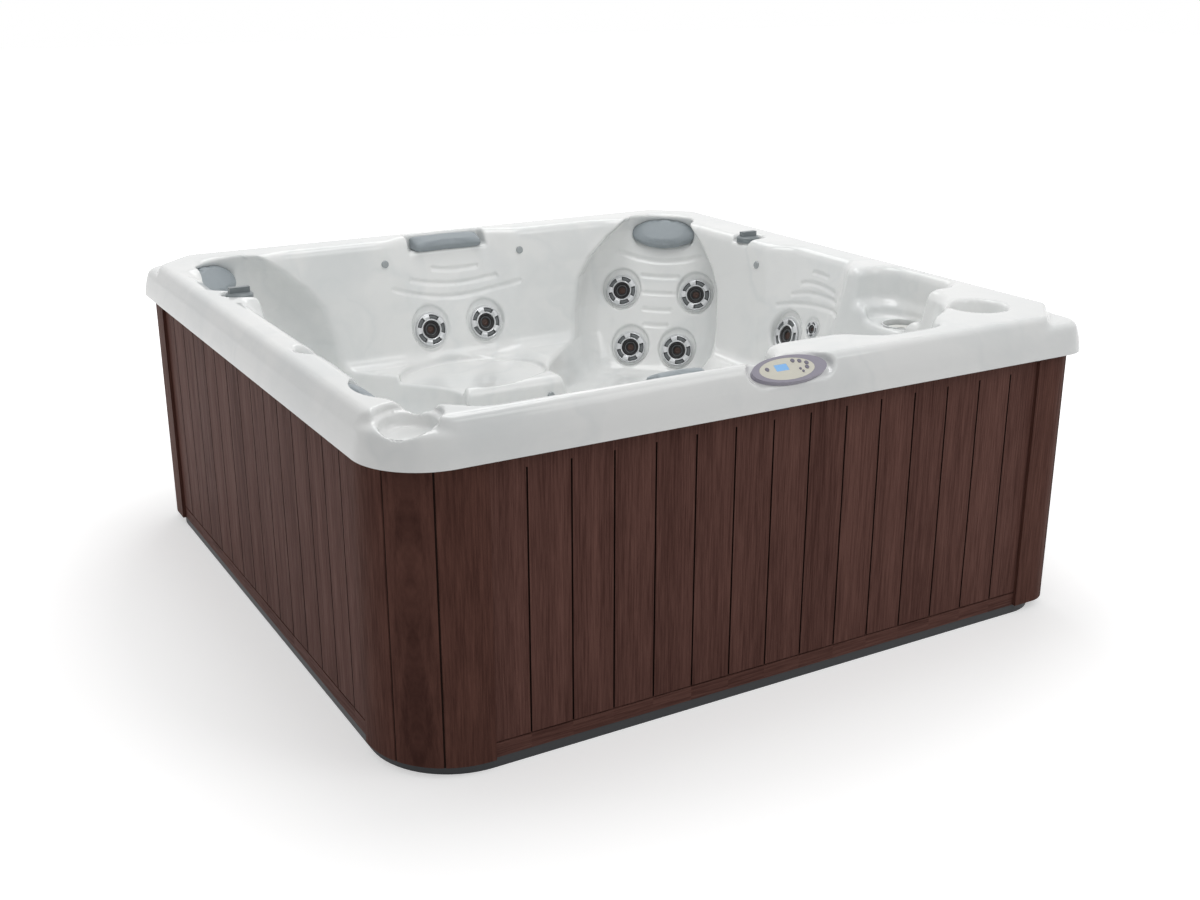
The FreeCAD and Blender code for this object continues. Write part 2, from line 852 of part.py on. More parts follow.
def jet_size(size, small):
    return size * S.small_jet_share if small else size


def jet_spot(name):
    """Where a jet's dish floor lies."""
    wall, along, height, small = JETS[name]
    return wall.spot(along, height, jet_size(S.jet_dish_depth, small))


def jet_dishes(name, grow):
    """Round flat-bottomed dishes that the jets sit in."""
    dishes = []
    for jet, (_, _, _, small) in JETS.items():
        depth = jet_size(S.jet_dish_depth + S.overrun, small) + grow
        dish = cylinder(f"{name}_{jet}", jet_size(S.jet_dish, small) + grow, depth)
        dish.Placement = sunk(jet_spot(jet), grow)
        dishes.append(dish)
    return dishes


def panel_spot():
    """The middle of the control tray's floor on the front slope."""
    tilt = FreeCAD.Rotation(FreeCAD.Vector(1, 0, 0), S.panel_tilt.value)
    foot = FreeCAD.Vector(S.panel_centre.value, -rim_half_y.value, band_top.value)
    climb = tilt.multVec(FreeCAD.Vector(0, S.panel_climb.value, 0))
    return FreeCAD.Placement(foot + climb, tilt)


def control_tray(name, grow):
    """The oval tray for the control panel, open down the front slope."""
    return oval_column(name, S.tray_half_width + grow, S.tray_half_height + grow,
                       S.tray_half_height + grow, sunk(panel_spot(), grow))


def hollows(name, grow, top, well_top):
    """Every hollow of the shell; grown by the wall, they make its outside."""
    shapes = [basin(f"{name}_basin", grow, top), footwell(f"{name}_well", grow, well_top)]
    for seat, half in SEAT_HALVES.items():
        shapes.append(seat_hollow(f"{name}_seat_{seat}", SEATS[seat], S.seat_mouth, half,
                                  S.seat_flare, S.seat_corner, grow, top))
    for seat in ("back_right", "back_left"):
        shapes.append(bucket_hollow(f"{name}_seat_{seat}", SEATS[seat], grow, top))
    shapes.append(filter_bay(f"{name}_bay", grow, top))
    shapes += cup_dishes(f"{name}_cup", grow, top)
    shapes += knob_dishes(f"{name}_knob", grow, top)
    shapes += pillow_notches(f"{name}_notch", grow, top)
    shapes += pillow_pockets(f"{name}_pillow", grow)
    shapes += jet_dishes(f"{name}_dish", grow)
    return shapes


def knob_spots():
    """Where the two knobs' valves stand in the rim's dishes."""
    vec = FreeCAD.Vector
    floor = S.rim_top - S.knob_sink
    return {
        "right": vec(S.right_knob_across.value, S.right_knob_along.value, floor.value),
        "left": vec(S.left_knob_across.value, S.left_knob_along.value, floor.value),
    }


def knob_dishes(name, grow, top):
    """Round dishes at the rim's inner edge that the knobs stand in."""
    dishes = []
    for side, base in knob_spots().items():
        dish = cylinder(f"{name}_{side}", S.knob_seat + grow, top - S.rim_top + S.knob_sink + grow)
        dish.Placement = sunk(FreeCAD.Placement(base, FreeCAD.Rotation()), grow)
        dishes.append(dish)
    return dishes


def shell_bores():
    """Round holes through the shell for the jets, valves, filter and suction."""
    bores = []
    for jet, (_, _, _, small) in JETS.items():
        bore = cylinder(f"bore_{jet}", jet_size(S.jet_barrel, small) + S.fit_gap, S.wall + S.overrun)
        bore.Placement = sunk(jet_spot(jet), S.wall + S.overrun / 2)
        bores.append(bore)
    for side, base in knob_spots().items():
        bore = cylinder(f"bore_valve_{side}", S.valve_radius + S.fit_gap, S.wall + S.overrun)
        bore.Placement = sunk(FreeCAD.Placement(base, FreeCAD.Rotation()), S.wall + S.overrun / 2)
        bores.append(bore)
    well = cylinder("bore_filter", S.filter_bore, S.wall + S.overrun)
    bores.append(place(well, S.filter_across, S.filter_along, S.bay_floor - S.wall - S.overrun / 2))
    suction = cylinder("bore_suction", S.pipe_radius - S.pipe_wall, S.wall + S.overrun)
    reach = WELL_WALLS["front"].reach(S.pump_height) + S.wall + S.overrun / 2
    bores.append(place(suction, S.pump_across, -reach, S.pump_height, AIM_BACK))
    return bores


def tub_shell():
    """One formed sheet: rim, basin, seats, footwell, bay and dishes."""
    steps = rim_steps("rim_step", ZERO)
    form = boolean("Cut", "rim_form", rim_block("rim_outside", ZERO, ZERO, lip_bottom), steps)
    under = boolean("Cut", "rim_under", rim_block("rim_inside", S.wall, S.wall, lip_bottom - S.wall),
                    rim_steps("under_step", S.wall))
    rim = boolean("Cut", "rim_sheet", form, under)
    skins = hollows("skin", S.wall, S.rim_top - S.wall / 2, S.seat_level - S.wall / 2)
    skins.append(control_tray("tray_skin", S.wall))
    envelope = boolean("Cut", "tub_envelope", rim_block("tub_limits", ZERO, ZERO, ZERO), steps)
    trimmed = boolean("Common", "tub_skins", fuse("all_skins", skins), envelope)
    tub = fuse("tub_outside", [rim, trimmed])
    space = hollows("space", ZERO, S.rim_top + S.overrun, S.seat_level + S.overrun)
    space.append(control_tray("tray_space", ZERO))
    cut = fuse("tub_inside", space + shell_bores())
    keep("tub_shell", boolean("Cut", "tub_shell", tub, cut))


def jet_ring(small):
    """A jet's turning face ring with its five windows, on a sleeve whose webbed foot holds the nozzle."""
    def cut(size):
        return jet_size(size, small)
    name = "small_ring" if small else "large_ring"
    back = cut(S.jet_flange_thick) + S.running_gap
    front = back + cut(S.jet_ring_thick)
    shoulder = back + cut(S.jet_ring_thick) / 3
    rounding = cut(S.jet_ring_thick) / 4
    bore, rim = cut(S.jet_ring_bore), cut(S.jet_ring)
    sleeve, foot = cut(S.jet_bore) - S.running_gap, -cut(S.jet_sleeve)
    spout, web = cut(S.jet_spout), foot + cut(S.jet_web)
    body = turned(name, [
        (spout, foot), (sleeve, foot), (sleeve, back),
        (rim, back), (rim, shoulder), (rim - rounding, front - rounding),
        (rim - rounding * 2, front), (bore + rounding, front), (bore, front - rounding),
        (bore, web), (spout, web)])
    half = cut(S.jet_window_half)
    window = profile(body, f"{name}_window", [
        (cut(S.jet_window_in), -half), (cut(S.jet_window_out), -half),
        (cut(S.jet_window_out), half), (cut(S.jet_window_in), half)], lift=front)
    round_axis(body, pocket(body, window, cut(S.jet_window_depth)), window, S.jet_windows)
    return body


def jet_nozzle(small):
    """A jet's nozzle: outer collar, annular groove and central spout."""
    def cut(size):
        return jet_size(size, small)
    name = "small_nozzle" if small else "large_nozzle"
    front = cut(S.jet_flange_thick + S.jet_ring_thick / 2)
    groove = cut(S.jet_flange_thick)
    collar = cut(S.jet_ring_bore)
    lip = cut(S.jet_spout / 2)
    spout = cut(S.jet_spout)
    back = cut(S.jet_web) - cut(S.jet_sleeve)
    return turned(name, [
        (spout, back), (collar - lip, back), (collar, ZERO), (collar, front), (collar - lip, front),
        (collar - lip * 2, groove), (spout + lip, groove), (spout + lip, front), (spout, front)])


def jet_body(small):
    """A jet's fixed wall fitting: flange in the dish and closed barrel behind it."""
    def cut(size):
        return jet_size(size, small)
    name = "small_fitting" if small else "large_fitting"
    flange, thick = cut(S.jet_flange), cut(S.jet_flange_thick)
    barrel, bore = cut(S.jet_barrel), cut(S.jet_bore)
    depth, back = cut(S.jet_body_depth), cut(S.jet_body_back)
    return turned(name, [
        (ZERO, -depth), (barrel, -depth), (barrel, ZERO), (flange, ZERO), (flange, thick / 2),
        (flange - thick / 2, thick), (bore, thick), (bore, back - depth), (ZERO, back - depth)])


def jet_nut(small):
    """The nut that clamps a jet's fitting to the shell from behind."""
    name = "small_nut" if small else "large_nut"
    bore = jet_size(S.jet_barrel, small) + S.fit_gap
    rim = jet_size(S.jet_nut, small)
    back = -S.wall - jet_size(S.jet_nut_thick, small)
    return turned(name, [(bore, back), (rim, back), (rim, -S.wall), (bore, -S.wall)])


def jets():
    """Turning faces as separate nodes; fittings and nuts as two groups."""
    faces = {small: [jet_ring(small), jet_nozzle(small)] for small in (False, True)}
    fittings = {small: jet_body(small) for small in (False, True)}
    nuts = {small: jet_nut(small) for small in (False, True)}
    placed_fittings, placed_nuts = [], []
    for jet, (_, _, _, small) in JETS.items():
        spot = jet_spot(jet)
        face = keep(jet, group(jet, faces[small]))
        fitting = group(f"fitting_{jet}", [fittings[small]])
        nut = group(f"nut_{jet}", [nuts[small]])
        for thing in (face, fitting, nut):
            thing.Placement = spot
        placed_fittings.append(fitting)
        placed_nuts.append(nut)
    keep("jet_fittings", group("jet_fittings", placed_fittings))
    keep("jet_nuts", group("jet_nuts", placed_nuts))


def lights():
    """Round lenses on the upper walls and in the footwell."""
    def lens(name):
        edge = S.light_thick / 2
        return turned(name, [(ZERO, ZERO), (S.light_radius, ZERO), (S.light_radius, edge),
                             (S.light_radius - edge, S.light_thick), (ZERO, S.light_thick)])
    pattern = lens("lens")
    back, right, well = BASIN_WALLS["back"], BASIN_WALLS["right"], WELL_WALLS["back"]
    spots = {
        "wall_lights": [back.spot(S.back_light_place, S.light_height),
                        back.spot(-S.back_light_place, S.light_height),
                        right.spot(S.right_light_place, S.light_height)],
        "footwell_lights": [well.spot(-S.well_light_left, S.well_light_height),
                            well.spot(-S.well_light_right, S.well_light_height)],
    }
    for name, places in spots.items():
        lenses = []
        for number, spot in enumerate(places):
            one = group(f"{name}_{number}", [pattern])
            one.Placement = spot
            lenses.append(one)
        keep(name, group(name, lenses))


def oval_pillow(name, spot):
    """A moulded oval head pillow: drawn-in back, full middle, crowned front."""
    body = new_body(name)
    layers = []
    for number, (height_share, width_share) in enumerate(PILLOW_LAYER_SHARES):
        layers.append(oval(body, f"{name}_layer_{number}", S.oval_half_width * width_share,
                           S.oval_half_height * width_share, lift=S.oval_thick * height_share))
    cushion = body.newObject("PartDesign::AdditiveLoft", f"{name}_cushion")
    cushion.Profile = layers[0]
    cushion.Sections = layers[1:]
    cushion.Ruled = True
    body.Placement = spot
    keep(name, body)


def roll_pillow(name, turn, reach, centre, width):
    """A straight head pillow in its notch: sloping top, drawn-in ends."""
    sections = []
    for number, (place_share, size_share) in enumerate(ROLL_SECTION_SHARES):
        corners = [(S.roll_depth * x_share * size_share, S.roll_height * z_share * size_share)
                   for x_share, z_share in ROLL_PROFILE_SHARES]
        section = profile(doc, f"{name}_section_{number}", [(-x, z) for x, z in corners])
        along = centre + width * place_share
        point = FreeCAD.Vector((reach - S.fit_gap).value, along.value, S.notch_floor.value)
        spin = turn_about_z(turn)
        stand = FreeCAD.Rotation(FreeCAD.Vector(1, 0, 0), 90)
        section.Placement = FreeCAD.Placement(spin.multVec(point), spin * stand)
        sections.append(section)
    keep(name, loft(name, sections))


def pillows():
    for place_name, spot in oval_spots().items():
        oval_pillow(f"{place_name}_pillow", spot)
    roll_pillow("back_pillow", 90, S.notch_back_reach, ZERO, S.back_roll_width)
    roll_pillow("front_pillow", 270, S.notch_front_reach, S.front_pillow_centre, S.front_roll_width)


def control_panel():
    """Bezel in the tray, face plate in the bezel, display and keys in the face."""
    spot = panel_spot()
    seat = S.bezel_thick - S.face_thick
    face_top = S.bezel_thick
    bezel = new_body("control_bezel")
    pad(bezel, oval(bezel, "bezel_outline", S.bezel_half_width, S.bezel_half_height), S.bezel_thick)
    recess = oval(bezel, "bezel_recess", S.face_half_width + S.fit_gap, S.face_half_height + S.fit_gap,
                  lift=S.bezel_thick, shift=S.face_shift)
    pocket(bezel, recess, S.face_thick)
    face = new_body("control_face")
    pad(face, oval(face, "face_outline", S.face_half_width, S.face_half_height,
                   lift=seat, shift=S.face_shift), S.face_thick)
    left = S.face_shift + S.display_across - S.display_width / 2
    low = S.display_up - S.display_height / 2
    window = profile(face, "face_window", [
        (left, low), (left + S.display_width, low),
        (left + S.display_width, low + S.display_height), (left, low + S.display_height)], lift=face_top)
    pocket(face, window, S.display_depth)
    display = box("control_display", S.display_width - S.fit_gap * 2, S.display_height - S.fit_gap * 2,
                  S.display_depth)
    display.Placement = spot * FreeCAD.Placement(
        FreeCAD.Vector((left + S.fit_gap).value, (low + S.fit_gap).value,
                       (face_top - S.display_depth).value), FreeCAD.Rotation())
    keep("control_display", display)
    for key, (x_share, y_share) in KEY_SHARES.items():
        radius = S.key_radius * SMALL_KEY_SHARE if key in SMALL_KEYS else S.key_radius
        x = S.face_shift + S.face_half_width * x_share
        y = S.face_half_height * y_share
        hole = circles(face, f"{key}_hole", [(x, y)], radius + S.fit_gap, lift=face_top)
        pocket(face, hole, S.face_thick)
        foot = seat + S.key_travel + S.fit_gap
        button = cylinder(key, radius, face_top + S.key_proud - foot)
        button.Placement = spot * FreeCAD.Placement(
            FreeCAD.Vector(x.value, y.value, foot.value), FreeCAD.Rotation())
        keep(key, button)
    bezel.Placement = spot
    face.Placement = spot
    keep("control_bezel", bezel)
    keep("control_face", face)


def knobs():
    """Turning knobs on valve bodies set in the rim."""
    base = S.valve_collar_thick + S.running_gap
    edge = S.knob_height / 4
    stem_foot = -S.knob_stem_depth
    valve = turned("valve", [
        (ZERO, -S.valve_depth), (S.valve_radius, -S.valve_depth), (S.valve_radius, ZERO),
        (S.valve_collar, ZERO), (S.valve_collar, S.valve_collar_thick),
        (S.knob_stem + S.running_gap, S.valve_collar_thick),
        (S.knob_stem + S.running_gap, stem_foot - S.fit_gap), (ZERO, stem_foot - S.fit_gap)])
    valves = []
    for side, point in knob_spots().items():
        name = f"{side}_knob"
        knob = turned(name, [
            (ZERO, stem_foot), (S.knob_stem, stem_foot), (S.knob_stem, base),
            (S.knob_radius, base), (S.knob_radius, base + S.knob_height - edge),
            (S.knob_radius - edge, base + S.knob_height), (ZERO, base + S.knob_height)])
        half = S.knob_grip_width / 2
        length = S.knob_radius - edge * 2
        corners = [(-length, -half), (length, -half), (length, half), (-length, half)]
        grip = profile(knob, f"{name}_grip", corners, lift=base + S.knob_height)
        pad(knob, grip, S.knob_grip_height)
        knob.Placement = FreeCAD.Placement(point, FreeCAD.Rotation())
        keep(name, knob)
        one = group(f"{name}_valve", [valve])
        one.Placement = FreeCAD.Placement(point, FreeCAD.Rotation())
        valves.append(one)
    keep("knob_valves", group("knob_valves", valves))


def side_panel(side, turn, left, right):
    """A cabinet side: boards between upright seams over a skirting board."""
    name = f"{side}_panel"
    body = new_body(name)
    x0, x1 = left - S.panel_tongue, right + S.panel_tongue
    board = profile(body, f"{name}_board", [(x0, S.panel_bottom), (x1, S.panel_bottom),
                                            (x1, S.panel_top), (x0, S.panel_top)])
    pad(body, board, S.panel_thick)
    half = S.seam_width / 2
    line = profile(body, f"{name}_skirting", [
        (x0 - S.overrun, S.skirting_top - half), (x1 + S.overrun, S.skirting_top - half),
        (x1 + S.overrun, S.skirting_top + half), (x0 - S.overrun, S.skirting_top + half)], lift=S.panel_thick)
    pocket(body, line, S.seam_depth)
    spread = S.board_pitch * (S.board_seams - 1)
    first = (left + right) / 2 - spread / 2
    seam = profile(body, f"{name}_seam", [
        (first - half, S.skirting_top), (first + half, S.skirting_top),
        (first + half, S.seam_top), (first - half, S.seam_top)], lift=S.panel_thick)
    along_x(body, pocket(body, seam, S.seam_depth), seam, spread, S.board_seams)
    body.Placement = FreeCAD.Placement(side_place(turn, frame_face.value), upright(turn))
    keep(name, body)


def side_panels():
    near = corner_face - S.near_panel_reach
    far = corner_face - S.corner_panel_reach
    side_panel("front", SIDES["front"], -near, far)
    side_panel("right", SIDES["right"], -far, far)
    side_panel("back", SIDES["back"], -far, far)
    side_panel("left", SIDES["left"], -far, near)


def corner_panel(name, turn, reach, radius):
    """A rounded cabinet corner with two upright seams, lapped over the side panels."""
    body = new_body(name)
    sketch = new_sketch(body, f"{name}_plan")
    vec = FreeCAD.Vector
    thick = S.corner_thick
    f, r, t = reach.value, radius.value, thick.value

    def line(ax, ay, bx, by):
        return Part.LineSegment(vec(ax, ay, 0), vec(bx, by, 0))

    def arc(size):
        return Part.ArcOfCircle(Part.Circle(vec(r, r, 0), UP, size), math.pi, math.pi * 3 / 2)

    sketch.addGeometry([
        line(0, f, 0, r), arc(r), line(r, 0, f, 0), line(f, 0, f, t),
        line(f, t, r, t), arc(r - t), line(t, r, t, f), line(t, f, 0, f)], False)
    rule = Sketcher.Constraint
    joins = [("Tangent", 0, 2, 1, 1), ("Tangent", 1, 2, 2, 1), ("Coincident", 2, 2, 3, 1),
             ("Coincident", 3, 2, 4, 1), ("Tangent", 4, 2, 5, 2), ("Tangent", 5, 1, 6, 1),
             ("Coincident", 6, 2, 7, 1), ("Coincident", 7, 2, 0, 1), ("Vertical", 0), ("Horizontal", 2),
             ("Vertical", 3), ("Horizontal", 7), ("Horizontal", 4), ("Vertical", 6)]
    rules = [(rule(*join), None) for join in joins]
    rules += [(rule("Radius", 1, r), radius), (rule("Radius", 5, r - t), radius - thick),
              (rule("DistanceX", -1, 1, 0, 1, 0), ZERO), (rule("DistanceY", -1, 1, 2, 1, 0), ZERO),
              (rule("DistanceX", -1, 1, 3, 1, f), reach), (rule("DistanceY", -1, 1, 0, 1, f), reach),
              (rule("DistanceX", -1, 1, 6, 1, t), thick)]
    hold(sketch, rules)
    pad(body, sketch, S.panel_top - S.panel_bottom)
    seams = []
    for angle_share in CORNER_SEAM_SHARES:
        angle = angle_share * math.pi / 2
        seams.append((radius - radius * math.cos(angle), radius - radius * math.sin(angle)))
    pocket(body, circles(body, f"{name}_seams", seams, S.corner_seam_radius))
    corner = turn_about_z(turn).multVec(vec(-corner_face.value, -corner_face.value, S.panel_bottom.value))
    body.Placement = FreeCAD.Placement(corner, turn_about_z(turn))
    keep(name, body)


def corner_panels():
    corner_panel("front_left_corner", 0, S.near_panel_reach, S.near_panel_radius)
    for name, turn in (("front_right_corner", 90), ("back_right_corner", 180), ("back_left_corner", 270)):
        corner_panel(name, turn, S.corner_panel_reach, S.corner_panel_radius)


def base_pan():
    """A shallow tray under the cabinet."""
    body = new_body("base_pan")
    half = S.cabinet_half - S.base_inset
    inner = frame_face + S.fit_gap
    edge = half - inner
    near, far = S.base_near_corner, S.base_corner
    pad(body, outline(body, "base_outline", -half, half, -half, half, (near, far, far, far)), S.panel_bottom)
    tray = outline(body, "base_tray", -inner, inner, -inner, inner,
                   (near - edge, far - edge, far - edge, far - edge), lift=S.panel_bottom)
    pocket(body, tray, S.panel_bottom - S.base_floor)
    keep("base_pan", body)


def framework():
    """Timber rails and posts behind the side panels, and the foam under the footwell."""
    inner = frame_face - S.rail_thick
    lower, upper, posts = [], [], []
    top_foot = S.top_rail_top - S.rail_height
    post_foot = S.base_floor + S.rail_height
    for side, turn in SIDES.items():
        spin = turn_about_z(turn)

        def stand(thing, along, foot):
            point = FreeCAD.Vector(along.value, -frame_face.value, foot.value)
            thing.Placement = FreeCAD.Placement(spin.multVec(point), spin)
            return thing

        length = S.rail_half_length * 2
        rail = box(f"{side}_lower_rail", length, S.rail_thick, S.rail_height)
        lower.append(stand(rail, -S.rail_half_length, S.base_floor))
        start = S.bay_back + S.overrun if side == "right" else -S.rail_half_length
        rail = box(f"{side}_upper_rail", S.rail_half_length - start, S.rail_thick, S.rail_height)
        upper.append(stand(rail, start, top_foot))
        for number, along in enumerate((-S.post_place, ZERO, S.post_place)):
            post = box(f"{side}_post_{number}", S.post_width, S.rail_thick, top_foot - post_foot)
            posts.append(stand(post, along - S.post_width / 2, post_foot))
    keep("lower_rails", group("lower_rails", lower))
    keep("upper_rails", group("upper_rails", upper))
    keep("frame_posts", group("frame_posts", posts))
    inset = S.well_draft + S.foam_inset
    foam = box("floor_foam", S.well_left + S.well_right - inset * 2, S.well_front + S.well_back - inset * 2,
               S.well_floor - S.wall - S.base_floor)
    keep("floor_foam", place(foam, inset - S.well_left, inset - S.well_front, S.base_floor))


def pump():
    """Motor on its cradle, wet end, suction and discharge pipes, and manifold."""
    motor_back = S.motor_front + S.motor_length
    bell = S.motor_radius / 4
    motor = turned("motor_can", [
        (ZERO, ZERO), (S.motor_radius - bell, ZERO), (S.motor_radius, bell),
        (S.motor_radius, S.motor_length), (ZERO, S.motor_length)])
    place(motor, S.pump_across, S.motor_front, S.pump_height, AIM_BACK)
    cradle = box("motor_cradle", S.foot_width, S.motor_length - bell * 2, S.pump_height - S.base_floor)
    place(cradle, S.pump_across - S.foot_width / 2, S.motor_front + bell, S.base_floor)
    keep("pump_motor", fuse("pump_motor", [motor, cradle]))
    rounding = S.wet_end_length / 5
    volute = turned("volute", [
        (ZERO, ZERO), (S.wet_end_radius - rounding, ZERO), (S.wet_end_radius, rounding),
        (S.wet_end_radius, S.wet_end_length - rounding), (S.wet_end_radius - rounding, S.wet_end_length),
        (ZERO, S.wet_end_length)])
    place(volute, S.pump_across, motor_back, S.pump_height, AIM_BACK)
    outlet_y = motor_back + S.wet_end_length / 2
    outlet_top = S.pump_height + S.wet_end_radius + rounding
    outlet = cylinder("pump_outlet", S.pipe_radius, S.wet_end_radius + rounding)
    place(outlet, S.pump_across, outlet_y, S.pump_height)
    keep("pump_wet_end", fuse("pump_wet_end", [volute, outlet]))
    nose = motor_back + S.wet_end_length
    wall_y = -WELL_WALLS["front"].reach(S.pump_height)
    bore = S.pipe_radius - S.pipe_wall
    tail = wall_y - S.wall - S.pipe_wall * 4
    suction = turned("suction_pipe", [(bore, ZERO), (S.pipe_radius, ZERO), (S.pipe_radius, tail - nose),
                                      (bore, tail - nose)])
    keep("suction_pipe", place(suction, S.pump_across, nose, S.pump_height, AIM_BACK))
    riser = turned("discharge_pipe", [(bore, ZERO), (S.pipe_radius, ZERO), (S.pipe_radius, S.riser_length),
                                      (bore, S.riser_length)])
    keep("discharge_pipe", place(riser, S.pump_across, outlet_y, outlet_top))
    boss_foot = outlet_top + S.riser_length
    axis_z = boss_foot + S.manifold_radius + S.pipe_wall
    boss = cylinder("manifold_boss", S.pipe_radius, axis_z - boss_foot)
    place(boss, S.pump_across, outlet_y, boss_foot)
    start = S.pump_across - S.manifold_length / 2
    drum = cylinder("manifold_drum", S.manifold_radius, S.manifold_length)
    place(drum, start, outlet_y, axis_z, AIM_RIGHT)
    barbs = []
    pitch = S.manifold_length / S.barbs
    for number in range(int(S.barbs.value)):
        barb = cylinder(f"manifold_barb_{number}", S.barb_radius, S.manifold_radius + S.barb_length)
        barbs.append(place(barb, start + pitch * (number + HALF_SHARE), outlet_y, axis_z, AIM_BACK))
    keep("return_manifold", fuse("return_manifold", [drum, boss] + barbs))


def suction_cover():
    """Slotted cover on the footwell's front wall, with its spigot out through the shell."""
    wall = WELL_WALLS["front"]
    spot = wall.spot(S.pump_across, S.pump_height)
    body = new_body("suction_grille")
    edge = S.suction_thick / 3
    revolve(body, profile(body, "grille_profile", [
        (ZERO, ZERO), (S.suction_radius, ZERO), (S.suction_radius, S.suction_thick - edge),
        (S.suction_radius - edge, S.suction_thick), (ZERO, S.suction_thick)], "XZ_Plane"))
    half = S.suction_thick / 5
    slot = profile(body, "grille_slot", [
        (S.suction_radius / 3, -half), (S.suction_radius - edge * 2, -half),
        (S.suction_radius - edge * 2, half), (S.suction_radius / 3, half)], lift=S.suction_thick)
    round_axis(body, pocket(body, slot, S.suction_thick / 2), slot, S.suction_slots)
    body.Placement = spot
    length = S.wall + S.overrun
    spigot = cylinder("suction_spigot", S.pipe_radius - S.pipe_wall - S.fit_gap, length)
    back = -wall.reach(S.pump_height) - length + S.suction_thick / 2
    place(spigot, S.pump_across, back, S.pump_height, AIM_BACK)
    keep("suction_cover", fuse("suction_cover", [body, spigot]))


def equipment():
    """Control box on the front post, heater beside it, filter under its bay."""
    case = box("control_box", S.box_width, S.box_depth, S.box_height)
    case_front = -frame_face + S.rail_thick
    keep("control_box", place(case, S.box_left, case_front, S.box_bottom))
    cap = S.heater_radius / 3
    heater = turned("heater_tube", [
        (ZERO, ZERO), (S.heater_radius - cap, ZERO), (S.heater_radius, cap),
        (S.heater_radius, S.heater_length - cap), (S.heater_radius - cap, S.heater_length),
        (ZERO, S.heater_length)])
    heater_y = case_front + S.box_depth + S.heater_radius + S.fit_gap
    keep("heater_tube", place(heater, S.box_left, heater_y, S.heater_height, AIM_RIGHT))
    bore, rim = S.filter_bore, S.filter_bore + S.can_wall
    depth = S.filter_depth
    top = S.bay_floor - S.wall
    can = turned("filter_canister", [
        (ZERO, -depth), (rim, -depth), (rim, ZERO), (bore, ZERO), (bore, S.can_wall - depth),
        (ZERO, S.can_wall - depth)])
    keep("filter_canister", place(can, S.filter_across, S.filter_along, top))
    length = depth - S.can_wall * 4
    core, band = S.cartridge_radius / 3, S.can_wall * 2
    cartridge = turned("filter_cartridge", [
        (core, ZERO), (S.cartridge_radius, ZERO), (S.cartridge_radius, band),
        (S.cartridge_radius - S.can_wall, band), (S.cartridge_radius - S.can_wall, length - band),
        (S.cartridge_radius, length - band), (S.cartridge_radius, length), (core, length)])
    keep("filter_cartridge", place(cartridge, S.filter_across, S.filter_along, top - depth + S.can_wall))


def check_and_write():
    """Stop on any failed object or broken shape, then write every node's file."""
    failed = [f"{thing.Name} {thing.State}" for thing in doc.Objects
              if "Invalid" in thing.State or "Error" in thing.State]
    for name, thing in nodes.items():
        if thing.Shape.isNull() or not thing.Shape.isValid():
            failed.append(f"{name} has no valid shape")
    if failed:
        raise RuntimeError("; ".join(failed))
    os.makedirs("parts", exist_ok=True)
    for name, thing in nodes.items():
        thing.Shape.exportStep(f"parts/{name}.step")


def print_axes():
    """The turning and sliding axes, as point and direction."""
    for jet in JETS:
        spot = jet_spot(jet)
        print("axis", jet, *spot.Base, *spot.Rotation.multVec(UP))
    for side, point in knob_spots().items():
        print("axis", f"{side}_knob", *point, *UP)
    spot = panel_spot()
    for key in KEY_SHARES:
        print("axis", key, *spot.Base, *spot.Rotation.multVec(UP))


for build in (base_pan, framework, side_panels, corner_panels, tub_shell, pillows, jets, lights, knobs,
              control_panel, pump, suction_cover, equipment):
    build()
doc.recompute()
check_and_write()
print_axes()
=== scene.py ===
import json
import logging
import math
from dataclasses import dataclass, field, replace
from enum import Enum
from typing import Callable, Sequence

import bmesh
import bpy
import numpy as np
from mathutils import Matrix, Vector


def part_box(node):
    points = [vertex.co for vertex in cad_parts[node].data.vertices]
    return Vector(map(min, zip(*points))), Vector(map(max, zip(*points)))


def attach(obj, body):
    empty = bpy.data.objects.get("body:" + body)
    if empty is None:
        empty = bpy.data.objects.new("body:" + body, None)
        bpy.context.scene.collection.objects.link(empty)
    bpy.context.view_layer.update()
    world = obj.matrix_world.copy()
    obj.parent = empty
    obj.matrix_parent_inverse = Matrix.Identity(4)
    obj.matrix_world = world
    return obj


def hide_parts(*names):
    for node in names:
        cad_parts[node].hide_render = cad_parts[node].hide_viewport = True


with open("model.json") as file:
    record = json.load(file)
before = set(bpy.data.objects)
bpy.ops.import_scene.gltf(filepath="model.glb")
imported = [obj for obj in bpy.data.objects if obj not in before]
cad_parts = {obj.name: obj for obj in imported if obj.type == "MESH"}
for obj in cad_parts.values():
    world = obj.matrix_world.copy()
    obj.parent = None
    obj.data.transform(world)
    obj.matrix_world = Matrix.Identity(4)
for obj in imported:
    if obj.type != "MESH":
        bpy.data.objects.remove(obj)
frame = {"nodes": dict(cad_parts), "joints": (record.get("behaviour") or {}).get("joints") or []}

log = logging.getLogger("hot_tub")
MM = 0.001
Array = np.ndarray
Colour = tuple[float, float, float]
Sizes = tuple[float, ...]
Spots = Sequence[Array]
Piece = bpy.types.Object
Node = bpy.types.Node
Socket = bpy.types.NodeSocket
ShaderTree = bpy.types.ShaderNodeTree
# Smallest length or slope to divide by
TINY, FLATTEST = 1e-9, 1e-6


# Node trees and shared shader groups

